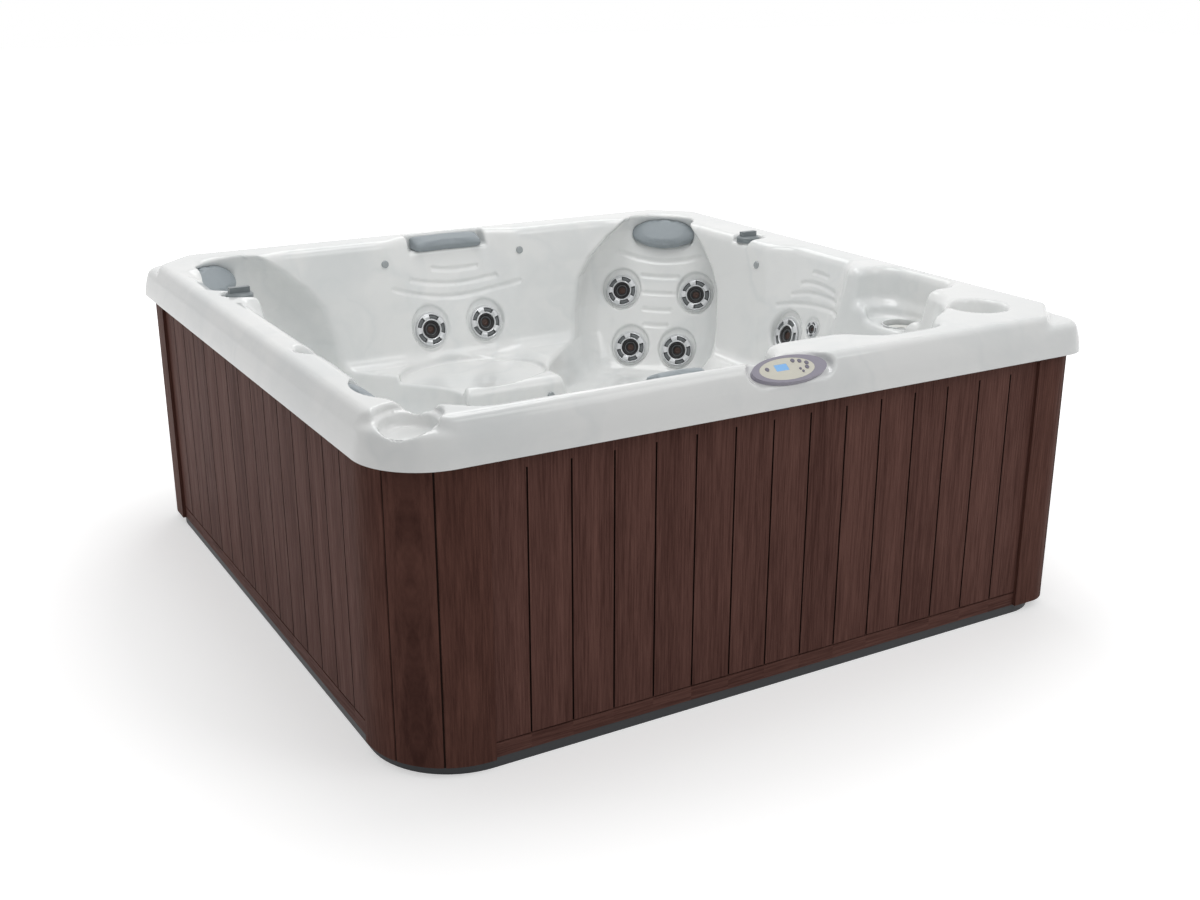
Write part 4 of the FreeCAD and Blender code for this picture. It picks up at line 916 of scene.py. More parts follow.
@dataclass(frozen=True)
class PressedLine:
    """A line pressed into one wall: outward direction in degrees, sideways and upright guide points, tool."""

    name: str
    turn: float
    across: Sizes
    heights: Sizes
    radius: float = 10.0
    depth: float = 3.5


def main_scoops() -> list[Hollow]:
    """Basin, footwell, seats, left shoulders, corner buckets and filter bay.

    Returns:
        The hollows in the order in which they join.
    """
    shoulder = {"turn": 180, "mouth": 500, "foot": 866, "low": 790, "flare": 0, "corner": 60,
                "soft_floor": 20, "soft": 26}
    return [
        TaperedHollow(name="basin", low=SEAT_LEVEL, draft=70.0, sides=(-886.0, 863.0, -870.0, 908.0),
                      corners=(120.0, 330.0, 330.0, 330.0), soft_floor=45.0, soft=40.0),
        TaperedHollow(name="footwell", low=95.0, high=SEAT_LEVEL, draft=50.0,
                      sides=(-340.0, 340.0, -430.0, 415.0), corners=(110.0,) * 4, soft_floor=60.0, soft=34.0),
        RakedSeat(name="right", turn=0, foot=806, head=920, centre=-30, half=165),
        RakedSeat(name="back", turn=90, foot=838, head=958, centre=0, half=205),
        RakedSeat(name="left", turn=180, foot=838, head=935, centre=690, half=190, low=400, corner=60),
        RakedSeat(name="front", turn=270, foot=872, head=985, centre=-395, half=415),
        RakedSeat(name="entry", turn=270, foot=848, head=948, centre=480, half=120, soft=60),
        RakedSeat(name="left_shoulder", head=952, centre=245, half=545, **shoulder),
        RakedSeat(name="left_shoulder_back", head=985, centre=-600, half=160, **shoulder),
        Bucket(name="back_right", turn=45.0),
        Bucket(name="back_left", turn=135.0),
        TaperedHollow(name="bay", low=784.0, draft=8.0, sides=(760.0, 985.0, -600.0, -280.0),
                      corners=(70.0,) * 4, soft_floor=26.0, soft=26.0),
    ]


def rim_cuts() -> list[Hollow]:
    """Corner steps, cups, pillow notches, knob dishes, filter bowl and the pan of the back seat.

    Returns:
        The hollows in the order in which they are cut.
    """
    dish = {"axis": UPRIGHT, "side": (1, 0, 0), "half_wide": 52.0, "half_tall": 52.0, "length": 60.0,
            "soft_floor": 8.0, "soft": 14.0}
    return [
        CornerSteps(),
        Cup(name="near_cup", at=NEAR_CUP, radius=62.0),
        Cup(name="deck_cup", at=(832.0, -838.0), radius=74.0),
        Cup(name="side_cup", at=(-945.0, -335.0), radius=45.0),
        Notch(name="back_notch", turn=90.0, reach=1000.0, centre=0.0, half=149.0),
        Notch(name="front_notch", turn=270.0, reach=972.0, centre=-250.0, half=88.0),
        Pocket(name="right_knob_dish", base=(897.0, 360.0, 870.0), **dish),
        Pocket(name="left_knob_dish", base=(-925.0, 375.0, 870.0), **dish),
        Pocket(name="near_ring", base=(*NEAR_CUP, 872.0), axis=UPRIGHT, side=(1, 1, 0), half_wide=84.0,
               half_tall=76.0, length=60.0, soft_floor=8.0, soft=10.0),
        Pocket(name="filter_bowl", base=(900.0, -440.0, FILTER_FLOOR), axis=UPRIGHT, side=(0, 1, 0),
               half_wide=122.0, half_tall=74.0, length=150.0, soft_floor=24.0, soft=22.0),
        Bore(name="filter_well", at=FILTER_WELL, radius=56.0, low=640.0, soft=4.0),
        Pocket(name="back_pan", base=(-55.0, 640.0, 444.0), axis=UPRIGHT, side=(1, 0, 0), half_wide=262.0,
               half_tall=205.0, length=44.0, soft_floor=14.0, soft=10.0),
    ]


def pressed_lines() -> list[PressedLine]:
    """Shallow pressed lines on the seat backs.

    Returns:
        The lines in the order in which they are pressed.
    """
    lines = [
        PressedLine("back_line_1", 90, (71, -5, -100), (778, 767, 770)),
        PressedLine("back_line_2", 90, (156, 28, -80, -167), (745, 721, 721, 730)),
        PressedLine("back_line_3", 90, (238, 143, 35, -91, -252), (727, 695, 676, 678, 708)),
        PressedLine("right_line_1", 0, (-8, -45, -83), (829, 830, 827), 8.0, 2.5),
        PressedLine("right_line_2", 0, (35, -40, -133), (785, 796, 785), 9.0, 3.0),
        PressedLine("right_line_3", 0, (70, -42, -154), (743, 764, 758), 9.0, 3.0),
        PressedLine("right_line_4", 0, (116, 9, -99, -190), (699, 721, 730, 725), 9.0, 3.0),
    ]
    bow = 2
    for name, turn in (("right", 45), ("left", 135)):
        lines.append(PressedLine(f"{name}_corner_arc", turn, (165, 80, 0, -80, -165),
                                 (752, 731, 725, 731, 752), 14.0, 4.5))
        for number, (height, half) in enumerate(((668, 70), (608, 62), (548, 52), (492, 42))):
            lines.append(PressedLine(f"{name}_corner_line_{number}", turn, (half, 0, -half),
                                     (height + bow, height, height + bow), 11.0, 3.5))
    return lines


@dataclass
class ShellForm:
    """The formed tub as a solid block with smoothly joined hollows, in millimetres."""

    rim_half: float = 1065.0
    lip_bottom: float = 782.0
    band_top: float = 830.0
    slope_run: float = 34.0
    slope_top: float = 888.0
    slope_soft: float = 34.0
    top_soft: float = 16.0
    edge_soft: float = 30.0
    near_corner: float = 175.0
    far_corner: float = 95.0
    wall: float = 8.0
    far_air: float = 400.0
    scoops: list[Hollow] = field(default_factory=main_scoops)
    cuts: list[Hollow] = field(default_factory=rim_cuts)

    def __post_init__(self) -> None:
        """Press the lines, one after another, into the finished walls."""
        for line in pressed_lines():
            self.press(line)

    def solid(self, x: Array, y: Array, z: Array, block: Spots | None = None) -> Array:
        """Distance field of the block.

        Args:
            x, y, z: Coordinates.
            block: Lowest and highest corner of the points, to skip far hollows.

        Returns:
            The distances, negative inside the material.
        """
        spots = (x, y, z)
        air = np.full(np.shape(x), self.far_air)
        for hollow in self.scoops:
            air = hollow.join(air, spots, block, smooth_min)
        half = self.rim_half
        corners = (self.near_corner, self.far_corner, self.far_corner, self.far_corner)
        edge = rounded_rectangle(x, y, (-half, half, -half, half), corners)
        rise = self.slope_top - self.band_top
        length = math.hypot(rise, self.slope_run)
        slope = (edge * rise + (z - self.band_top) * self.slope_run) / length
        solid = smooth_max(edge, slope, self.slope_soft)
        solid = smooth_max(solid, z - RIM_TOP, self.top_soft)
        solid = smooth_max(solid, -air, self.edge_soft)
        for hollow in self.cuts:
            solid = hollow.join(solid, spots, block, carve)
        return solid

    def wall_points(self, starts: Array, way: Array, steps: int = 60, stride: float = 0.8) -> Array:
        """Where straight lines out of the tub's middle meet the wall.

        Args:
            starts: Points in the air.
            way: Direction of the lines.
            steps: How often each point moves on.
            stride: Share of its distance to the wall that it moves each time.

        Returns:
            The points on the wall.
        """
        points = np.array(starts, float)
        for _ in range(steps):
            points += np.maximum(self.solid(*points.T), 0.0)[:, None] * stride * unit(way)
        return points

    def press(self, line: PressedLine, start: float = 450.0, detail: int = 4) -> None:
        """Press one line into its wall.

        Args:
            line: The line.
            start: How far out the search for the wall starts.
            detail: Points for each guide point.
        """
        c, s = heading(line.turn)
        count = len(line.across)
        degree = min(3, count - 1)
        coarse, fine = np.linspace(0, 1, count), np.linspace(0, 1, detail * count)
        v, z = (np.polyval(np.polyfit(coarse, guides, degree), fine)
                for guides in (line.across, line.heights))
        way = np.array((c, s, 0))
        wall = self.wall_points(np.stack([c * start - v * s, s * start + v * c, z], 1), way)
        path = wall - way * (line.radius - line.depth)
        self.cuts.append(Groove(name=line.name, path=path, radius=line.radius))


# Meshes

@dataclass
class SurfaceNet:
    """Meshes a distance field on a regular grid, block by block."""

    form: ShellForm
    step: float
    low: Sizes = (-1080.0, -1080.0, 70.0)
    high: Sizes = (1080.0, 1080.0, 910.0)
    block: int = 20
    margin: float = 40.0

    def sample(self) -> Array:
        """Sample the field, with full detail only near the surface.

        Returns:
            The grid of distances.
        """
        counts = [int(math.ceil((b - a) / self.step / self.block)) for a, b in zip(self.low, self.high)]
        size = self.block * self.step
        values = np.empty([n * self.block + 1 for n in counts], np.float32)
        ticks = np.arange(self.block + 1) * self.step
        reach = size * math.sqrt(3) * 0.5 + self.margin
        for cell in np.ndindex(*counts):
            low = np.array(self.low) + np.array(cell) * size
            middle = low + size * 0.5
            cells = tuple(slice(n * self.block, (n + 1) * self.block + 1) for n in cell)
            spot = [np.array([m]) for m in middle]
            guess = float(self.form.solid(*spot, (middle - reach, middle + reach))[0])
            if abs(guess) > reach:
                values[cells] = guess
                continue
            x, y, z = np.meshgrid(low[0] + ticks, low[1] + ticks, low[2] + ticks, indexing="ij")
            values[cells] = self.form.solid(x, y, z, (low, low + size))
        return values

    def mesh(self) -> tuple[Array, Array]:
        """Mesh the surface where the field is zero.

        Returns:
            Points and four-sided faces that point out of the material.
        """
        values = self.sample()
        inside = values < 0
        shape = tuple(n - 1 for n in values.shape)
        corners = list(np.ndindex(2, 2, 2))
        count = np.zeros(shape, np.uint8)
        for a, b, c in corners:
            count += inside[a:a + shape[0], b:b + shape[1], c:c + shape[2]]
        cells = np.argwhere((count > 0) & (count < len(corners)))
        number = np.full(shape, -1, np.int32)
        number[tuple(cells.T)] = np.arange(len(cells))
        faces = np.concatenate([self._faces(inside, number, axis) for axis in range(3)])
        return self._points(values, cells, corners), faces

    def _points(self, values: Array, cells: Array, corners: Sequence) -> Array:
        """Put a point in each cell, in the middle of where its edges meet the surface.

        Args:
            values: The grid of distances.
            cells: The cells that the surface passes through.
            corners: The eight corners of a cell.

        Returns:
            The points.
        """
        total = np.zeros((len(cells), 3))
        crossings = np.zeros(len(cells))
        at = {corner: values[tuple((cells + corner).T)] for corner in corners}
        for start in corners:
            for axis in range(3):
                if start[axis]:
                    continue
                end = tuple(1 if n == axis else v for n, v in enumerate(start))
                first, second = at[start], at[end]
                hit = (first < 0) != (second < 0)
                share = np.where(hit, first / np.where(hit, first - second, 1), 0)
                total += np.where(hit[:, None], np.array(start), 0)
                total[:, axis] += np.where(hit, share, 0)
                crossings += hit
        return np.array(self.low) + self.step * (cells + total / crossings[:, None])

    @staticmethod
    def _faces(inside: Array, number: Array, axis: int) -> Array:
        """Make a face round each grid edge along one axis that crosses the surface.

        Args:
            inside: Which grid points are in the material.
            number: The point of each cell.
            axis: The axis.

        Returns:
            The faces.
        """
        one, two = [n for n in range(3) if n != axis]
        near = [slice(1, -1)] * 3
        near[axis] = slice(0, -1)
        far = list(near)
        far[axis] = slice(1, None)
        spots = np.argwhere(inside[tuple(near)] != inside[tuple(far)])
        spots[:, [one, two]] += 1
        ring = []
        for d1, d2 in ((-1, -1), (0, -1), (0, 0), (-1, 0)):
            cell = spots.copy()
            cell[:, one] += d1
            cell[:, two] += d2
            ring.append(number[tuple(cell.T)])
        faces = np.stack(ring, 1)
        outward = inside[tuple(spots.T)]
        flip = outward if axis == 1 else ~outward
        faces[flip] = faces[flip][:, ::-1]
        return faces


def new_piece(name: str, mesh: bpy.types.Mesh | None = None) -> Piece:
    """Make an object in the scene.

    Args:
        name: The object's name.
        mesh: Its mesh, or None for a new one.

    Returns:
        The new object.
    """
    piece = bpy.data.objects.new(name, mesh or bpy.data.meshes.new(name))
    bpy.context.scene.collection.objects.link(piece)
    return piece


def new_mesh(name: str, points: Array, faces: Array) -> Piece:
    """Make an object from points and faces of equal size.

    Args:
        name: The object's name.
        points: Points in metres.
        faces: Point numbers, one row for each face.

    Returns:
        The new object, in the scene.
    """
    mesh = bpy.data.meshes.new(name)
    mesh.vertices.add(len(points))
    mesh.vertices.foreach_set("co", np.asarray(points, np.float32).ravel())
    mesh.loops.add(faces.size)
    mesh.loops.foreach_set("vertex_index", faces.astype(np.int32).ravel())
    mesh.polygons.add(len(faces))
    mesh.polygons.foreach_set("loop_start", np.arange(0, faces.size, faces.shape[1], dtype=np.int32))
    mesh.update(calc_edges=True)
    mesh.validate()
    return new_piece(name, mesh)


def mesh_points(piece: Piece, values: str = "co") -> Array:
    """Read one row of values, such as its place in metres, for each point of a piece.

    Args:
        piece: The piece.
        values: Which values.

    Returns:
        The rows.
    """
    rows = np.empty(len(piece.data.vertices) * 3, np.float32)
    piece.data.vertices.foreach_get(values, rows)
    return rows.reshape(-1, 3)


def settle(piece: Piece) -> Piece:
    """Apply a piece's modifiers to its mesh.

    Args:
        piece: The piece.

    Returns:
        The same piece, with a plain mesh.
    """
    graph = bpy.context.evaluated_depsgraph_get()
    graph.update()
    mesh = bpy.data.meshes.new_from_object(piece.evaluated_get(graph))
    piece.modifiers.clear()
    old = piece.data
    piece.data = mesh
    bpy.data.meshes.remove(old)
    return piece


@dataclass
class Shell:
    """The visible tub shell: one formed sheet, with its sizes in millimetres."""

    step: float = 7.0
    triangles: int = 90000
    snap: float = 2.0
    lip_side: float = 1045.0
    bend_middle: float = 890.0
    bend_radius: float = 110.0
    lip_inside: float = 990.0
    lip_above: float = 20.0
    lip_below: float = 22.0
    well_radius: float = 62.0
    lowest: float = 80.0
    bore_depth: float = 25.0
    form: ShellForm = field(default_factory=ShellForm)

    def slope(self, points: Array, reach: float = 1.0) -> tuple[Array, Array]:
        """Distance and outward direction at points.

        Args:
            points: Points in millimetres.
            reach: Step of the differences.

        Returns:
            Distances, and unit directions.
        """
        here = self.form.solid(*points.T)
        grad = np.stack([self.form.solid(*(points + step).T) - here for step in np.eye(3) * reach], 1)
        return here, grad / np.maximum(np.linalg.norm(grad, axis=1, keepdims=True), TINY)

    def keep_faces(self, points: Array, faces: Array, holes: Sequence) -> Array:
        """Leave out what is under the lip, under the filter hole and behind the fittings.

        Args:
            points: Points in millimetres.
            faces: Faces.
            holes: Point, direction and radius of each jet's hole.

        Returns:
            The faces that stay.
        """
        middle = points[faces].mean(1)
        flat, level = np.abs(middle[:, :2]), middle[:, 2]
        bend = np.hypot(*(flat - self.bend_middle).T)
        corner = (flat.min(1) > self.bend_middle) & (bend > self.bend_radius)
        outside = (flat.max(1) > self.lip_side) | corner
        well = np.hypot(*(middle[:, :2] - FILTER_WELL).T) < self.well_radius
        drop = outside & (level < self.form.lip_bottom)
        drop |= well & (level < FILTER_FLOOR) | (level < self.lowest)
        for base, axis, radius in holes:
            gap = middle - base
            out = gap @ axis
            ring = np.linalg.norm(gap - out[:, None] * axis, axis=1)
            drop |= (ring < radius) & (np.abs(out) < self.bore_depth)
        return faces[~drop]

    def skin(self, holes: Sequence) -> tuple[Array, Array]:
        """Mesh the upper face of the sheet with few triangles.

        Args:
            holes: Point, direction and radius of each jet's hole.

        Returns:
            Points in millimetres, and triangles.
        """
        points, faces = SurfaceNet(self.form, self.step).mesh()
        here, way = self.slope(points)
        points = points - way * np.clip(here, -self.step, self.step)[:, None]
        used, faces = np.unique(self.keep_faces(points, faces, holes), return_inverse=True)
        faces = faces.reshape(-1, 4)
        piece = new_mesh("tub_shell_formed", points[used] * MM, faces)
        fold = piece.modifiers.new("fewer_faces", "DECIMATE")
        fold.ratio = min(1.0, self.triangles / (2 * len(faces)))
        mesh = settle(piece).data
        mesh.calc_loop_triangles()
        triangles = np.empty(len(mesh.loop_triangles) * 3, np.int32)
        mesh.loop_triangles.foreach_get("vertices", triangles)
        points = mesh_points(piece).astype(float) / MM
        bpy.data.objects.remove(piece)
        return points, triangles.reshape(-1, 3)

    def build(self, holes: Sequence) -> Piece:
        """Make the sheet from its upper face, and dress it.

        Args:
            holes: Point, direction and radius of each jet's hole.

        Returns:
            The shell piece.
        """
        points, tris = self.skin(holes)
        here, way = self.slope(points)
        points = points - way * np.clip(here, -self.snap, self.snap)[:, None]
        edges = np.concatenate([tris[:, [0, 1]], tris[:, [1, 2]], tris[:, [2, 0]]])
        _, first, counts = np.unique(np.sort(edges, 1), axis=0, return_index=True, return_counts=True)
        border = edges[first[counts == 1]]
        lip = np.unique(border)
        above = points[lip, 2] - self.form.lip_bottom
        lip = lip[(above < self.lip_above) & (above > -self.lip_below)
                  & (np.abs(points[lip, :2]).max(1) > self.lip_inside)]
        points[lip, 2] = self.form.lip_bottom
        under = points - way * self.form.wall
        under[lip, 2] = self.form.lip_bottom
        count = len(points)
        start, end = border.T
        strip = np.concatenate([np.stack([end, start, start + count], 1),
                                np.stack([end, start + count, end + count], 1)])
        every = np.concatenate([tris, tris[:, ::-1] + count, strip])
        piece = new_mesh("tub_shell_formed", np.concatenate([points, under]) * MM, every)
        piece.data.shade_smooth()
        piece.data.normals_split_custom_set_from_vertices([tuple(n) for n in np.concatenate([way, -way])])
        SHELL_ACRYLIC.dress(piece)
        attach(piece, "tub")
        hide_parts("tub_shell")
        log.info("shell: %d points, %d faces", len(piece.data.vertices), len(piece.data.polygons))
        return piece


# Jets

class GeometryKit:
    """Builds a Geometry Nodes tree and turns it into plain meshes."""

    def __init__(self, name: str, inputs: dict[str, str]) -> None:
        """Make an empty tree.

        Args:
            name: The tree's name.
            inputs: Socket kinds by input name.
        """
        self.tree = bpy.data.node_groups.new(name, "GeometryNodeTree")
        self.tree.interface.new_socket("Geometry", in_out="OUTPUT", socket_type="NodeSocketGeometry")
        self.keys = {key: self.tree.interface.new_socket(key, in_out="INPUT", socket_type=kind).identifier
                     for key, kind in inputs.items()}
        self.sketch = NodeSketch(self.tree)
        self.given = {s.name: s for s in self.sketch.add("NodeGroupInput").outputs}
        self.leave = self.sketch.add("NodeGroupOutput")

    def close(self, geometry: Socket) -> None:
        """End the tree with realized geometry."""
        real = self.sketch.add("GeometryNodeRealizeInstances", {0: geometry})
        self.sketch.link(real.outputs[0], self.leave.inputs[0])

    def make(self, name: str, values: dict[str, object]) -> Piece:
        """Run the tree once and keep its mesh.

        Args:
            name: Name of the new piece.
            values: Input values by name.

        Returns:
            A piece with a plain mesh.
        """
        piece = new_piece(name)
        run = piece.modifiers.new(name, "NODES")
        run.node_group = self.tree
        for key, value in values.items():
            run[self.keys[key]] = value
        return settle(piece)


class JetFinish(Enum):
    """Finishes of a jet face, by the name of their input in its tree."""

    CHROME = "Chrome"
    WINDOW = "Window"
    DARK = "Dark"
    GREY = "Grey"
    CORE = "Core"


JET_FINISHES = {JetFinish.CHROME: JET_CHROME, JetFinish.WINDOW: JET_WINDOW, JetFinish.DARK: JET_DARK,
                JetFinish.GREY: JET_GREY, JetFinish.CORE: JET_CORE}


@dataclass(frozen=True)
class Ring:
    """A band of a jet face, in millimetres: middle radius, width, lowest and highest level, rounding.

    With a sweep in degrees it is an arc at each window, turned on from there by start.
    """

    radius: float
    width: float
    low: float
    high: float
    rounding: float
    finish: JetFinish
    sweep: float = 0.0
    start: float = 0.0


@dataclass(frozen=True)
class JetPlace:
    """Where one turning jet face sits: node, point in millimetres, outward direction and relative size."""

    node: str
    base: Array
    axis: Array
    size: float


@dataclass
class JetFaces:
    """The turning faces of the jets, all from one tree, and their dishes in the shell."""

    windows: int = 5
    small: float = 0.46
    circle_points: int = 60
    arc_points: int = 9
    dish_wide: float = 72.0
    dish_tall: float = 79.0
    dish_raise: float = 7.0
    dish_length: float = 60.0
    bore: float = 44.5
    rings: tuple[Ring, ...] = (
        Ring(55.2, 5.2, 4.2, 14.6, 2.2, JetFinish.CHROME),
        Ring(35.4, 5.6, 4.2, 15.6, 2.2, JetFinish.CHROME),
        Ring(45.6, 19.0, 4.2, 15.2, 1.6, JetFinish.CHROME, sweep=28.0, start=36.0),
        Ring(45.6, 17.0, 4.2, 6.4, 0.6, JetFinish.DARK),
        Ring(45.0, 11.4, 4.2, 10.8, 1.2, JetFinish.WINDOW, sweep=35.0),
        Ring(27.6, 11.2, -9.0, 9.5, 3.0, JetFinish.DARK),
        Ring(19.8, 3.2, -9.0, 8.6, 1.2, JetFinish.GREY),
        Ring(15.6, 5.6, -9.0, 5.0, 1.2, JetFinish.DARK),
        Ring(6.6, 12.6, -9.0, 3.0, 1.0, JetFinish.CORE),
    )
    places: list[JetPlace] = field(init=False)

    def __post_init__(self) -> None:
        """Find every turning jet face by its joint."""
        jets = [(joint["name"].removesuffix("_turn"), joint) for joint in frame["joints"]]
        self.places = [JetPlace(name, np.array(joint["pos_m"]) / MM, np.array(joint["axis"]),
                                self.small if name.endswith("small") else 1.0)
                       for name, joint in jets if name.startswith("jet_")]

    def cut(self, form: ShellForm) -> list[tuple[Array, Array, float]]:
        """Cut every jet's dish into the shell.

        Args:
            form: The shell's form.

        Returns:
            Point, direction and radius of each hole behind a dish.
        """
        for jet in self.places:
            side = np.cross(UPRIGHT, jet.axis)
            up = np.cross(jet.axis, side)
            form.cuts.append(Pocket(
                name=jet.node, base=jet.base + up * self.dish_raise * jet.size, axis=jet.axis, side=side,
                half_wide=self.dish_wide * jet.size, half_tall=self.dish_tall * jet.size,
                length=self.dish_length * jet.size, soft_floor=6.0, soft=9.0))
        return [(jet.base, jet.axis, self.bore * jet.size) for jet in self.places]

    def tree(self) -> GeometryKit:
        """Draw one face: chrome bands and spokes, dark windows, cup and nozzle.
        """
        kit = GeometryKit("jet_face", {"Windows": "NodeSocketInt", "Place": "NodeSocketVector",
                                       "Turn": "NodeSocketVector", "Size": "NodeSocketFloat"}
                          | {finish.value: "NodeSocketMaterial" for finish in JetFinish})
        parts = [self._ring(kit, ring) for ring in self.rings]
        joined = kit.sketch.add("GeometryNodeJoinGeometry")
        for part in reversed(parts):
            kit.sketch.link(part, joined.inputs[0])
        smooth = kit.sketch.add("GeometryNodeSetShadeSmooth", {0: joined.outputs[0]})
        scale = kit.sketch.add("ShaderNodeCombineXYZ", {n: kit.given["Size"] for n in range(3)})
        moved = kit.sketch.add("GeometryNodeTransform", {
            "Geometry": smooth.outputs[0], "Translation": kit.given["Place"], "Rotation": kit.given["Turn"],
            "Scale": scale.outputs[0]})
        kit.close(moved.outputs[0])
        return kit

    def _ring(self, kit: GeometryKit, ring: Ring) -> Socket:
        """Sweep a band's rounded outline round the face, or along one arc for each window.

        Args:
            ring: The band.

        Returns:
            The band's geometry.
        """
        sketch = kit.sketch
        if ring.sweep:
            path = sketch.add("GeometryNodeCurveArc", {
                "Resolution": self.arc_points, "Radius": ring.radius * MM,
                "Start Angle": math.radians(ring.start - ring.sweep / 2),
                "Sweep Angle": math.radians(ring.sweep)})
        else:
            path = sketch.add("GeometryNodeCurvePrimitiveCircle",
                              {"Resolution": self.circle_points, "Radius": ring.radius * MM})
        box = sketch.add("GeometryNodeCurvePrimitiveQuadrilateral",
                         {"Width": ring.width * MM, "Height": (ring.high - ring.low) * MM})
        outline = sketch.add("GeometryNodeFilletCurve",
                             {"Curve": box.outputs[0], "Radius": ring.rounding * MM}, mode="POLY")
        swept = sketch.add("GeometryNodeCurveToMesh", {
            "Curve": path.outputs[0], "Profile Curve": outline.outputs[0], "Fill Caps": True})
        raised = sketch.add("GeometryNodeTransform", {
            "Geometry": swept.outputs[0], "Translation": (0.0, 0.0, (ring.low + ring.high) * 0.5 * MM)})
        band = sketch.add("GeometryNodeSetMaterial", {
            0: raised.outputs[0], "Material": kit.given[ring.finish.value]}).outputs[0]
        if not ring.sweep:
            return band
        spots = sketch.add("GeometryNodePoints", {"Count": kit.given["Windows"]})
        index = sketch.add("GeometryNodeInputIndex").outputs[0]
        part = sketch.math("DIVIDE", math.tau, kit.given["Windows"])
        turn = sketch.add("ShaderNodeCombineXYZ", {2: sketch.times(index, part)})
        copies = sketch.add("GeometryNodeInstanceOnPoints", {
            "Points": spots.outputs[0], "Instance": band, "Rotation": turn.outputs[0]})
        return sketch.add("GeometryNodeRealizeInstances", {0: copies.outputs[0]}).outputs[0]

    def build(self) -> None:
        """Make every face on its own body."""
        kit = self.tree()
        finishes = {finish.value: JET_FINISHES[finish].material() for finish in JetFinish}
        for jet in self.places:
            out = Vector(jet.axis)
            side = Vector(UPRIGHT).cross(out).normalized()
            turn = Matrix((side, out.cross(side), out)).transposed().to_euler()
            piece = kit.make(f"{jet.node}_visible", {
                "Windows": self.windows, "Place": tuple(jet.base * MM), "Turn": tuple(turn), "Size": jet.size}
                | finishes)
            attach(piece, f"{jet.node}_face")
            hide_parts(jet.node)
            log.info("jet face %s: %d faces", jet.node, len(piece.data.polygons))


# Pillows and the control panel's tray

@dataclass(frozen=True)
class FlatLie:
    """How a flat oval node lies: middle of its back in millimetres, way out of its face, way of its width."""

    base: Array
    axis: Array
    side: Array

    @classmethod
    def of(cls, node: str) -> "FlatLie":
        """Measure a node.

        Args:
            node: Name of the node.

        Returns:
            How it lies.
        """
        points = np.array([v.co for v in frame["nodes"][node].data.vertices]) / MM
        middle = (points.min(0) + points.max(0)) / 2
        _, _, ways = np.linalg.svd(points - points.mean(0), full_matrices=False)
        axis = ways[2] * np.sign(ways[2][2])
        back = ((points - middle) @ axis).min()
        return cls(middle + axis * back, axis, ways[0])


@dataclass
class ControlTray:
    """The oval tray of the control panel in the rim, in millimetres."""

    half_wide: float = 130.0
    half_tall: float = 53.0
    length: float = 70.0
    soft: float = 12.0

    def cut(self, form: ShellForm) -> None:
        """Cut the tray into the shell.

        Args:
            form: The shell's form.
        """
        lie = FlatLie.of("control_bezel")
        form.cuts.append(Pocket(name="control_tray", base=lie.base, axis=lie.axis, side=lie.side,
                                half_wide=self.half_wide, half_tall=self.half_tall, length=self.length,
                                soft_floor=self.soft, soft=self.soft))


@dataclass
class Pillow:
    """One soft pillow, blown up from its CAD form, with its sizes and its slide in millimetres."""

    node: str
    slide: Sizes = (0.0, 0.0, 0.0)
    voxel: float = 4.5
    inset: float = 1.5
    cap: float = 5.0
    fill: float = 0.8
    pressure: float = 4.0
    frames: int = 20
    merge: float = 0.01
    pocket_wide: float = 120.0
    pocket_tall: float = 61.0
    pocket_length: float = 90.0

    def cut(self, form: ShellForm) -> None:
        """Cut the pocket of a pillow that lies off its CAD place into the shell.

        Args:
            form: The shell's form.
        """
        if not any(self.slide):
            return
        lie = FlatLie.of(self.node)
        form.cuts.append(Pocket(name=self.node, base=lie.base + np.array(self.slide), axis=lie.axis,
                                side=lie.side, half_wide=self.pocket_wide, half_tall=self.pocket_tall,
                                length=self.pocket_length, soft_floor=6.0, soft=12.0))
        log.info("pillow %s lies at %s, facing %s", self.node, lie.base.round(), lie.axis.round(3))

    def build(self) -> Piece:
        """Remesh, swell and dress the pillow.

        Returns:
            The pillow piece.
        """
        mesh = frame["nodes"][self.node].data.copy()
        piece = new_piece(f"{self.node}_padded", mesh)
        merged = bmesh.new()
        merged.from_mesh(mesh)
        bmesh.ops.remove_doubles(merged, verts=merged.verts, dist=self.merge * MM)
        bmesh.ops.recalc_face_normals(merged, faces=merged.faces)
        merged.to_mesh(mesh)
        merged.free()
        grid = piece.modifiers.new("grid", "REMESH")
        grid.mode, grid.voxel_size = "VOXEL", self.voxel * MM
        settle(piece)
        self._move(piece, mesh_points(piece) - mesh_points(piece, "normal") * self.inset * MM)
        self._swell(piece)
        finer = piece.modifiers.new("finer", "SUBSURF")
        finer.levels = finer.render_levels = 1
        settle(piece)
        piece.data.transform(Matrix.Translation(Vector(self.slide) * MM))
        piece.data.shade_smooth()
        PILLOW_SKIN.dress(piece)
        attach(piece, "tub")
        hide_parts(self.node)
        log.info("pillow %s: %d faces", self.node, len(piece.data.polygons))
        return piece

    @staticmethod
    def _move(piece: Piece, points: Array) -> None:
        """Put a piece's points in new places, in metres."""
        piece.data.vertices.foreach_set("co", points.ravel())
        piece.data.update()

    def _swell(self, piece: Piece) -> None:
        """Blow the pillow up a little, with capped movement.

        Args:
            piece: The pillow.
        """
        start = mesh_points(piece)
        cloth = piece.modifiers.new("swell", "CLOTH")
        cloth.settings.use_pressure = True
        cloth.settings.uniform_pressure_force = self.pressure
        cloth.settings.effector_weights.gravity = 0.0
        scene = bpy.context.scene
        for number in range(1, self.frames + 1):
            scene.frame_set(number)
        settle(piece)
        scene.frame_set(1)
        moved = mesh_points(piece) - start
        length = np.linalg.norm(moved, axis=1, keepdims=True)
        moved *= np.minimum(1, self.cap * MM / np.maximum(length, TINY))
        self._move(piece, start + moved)


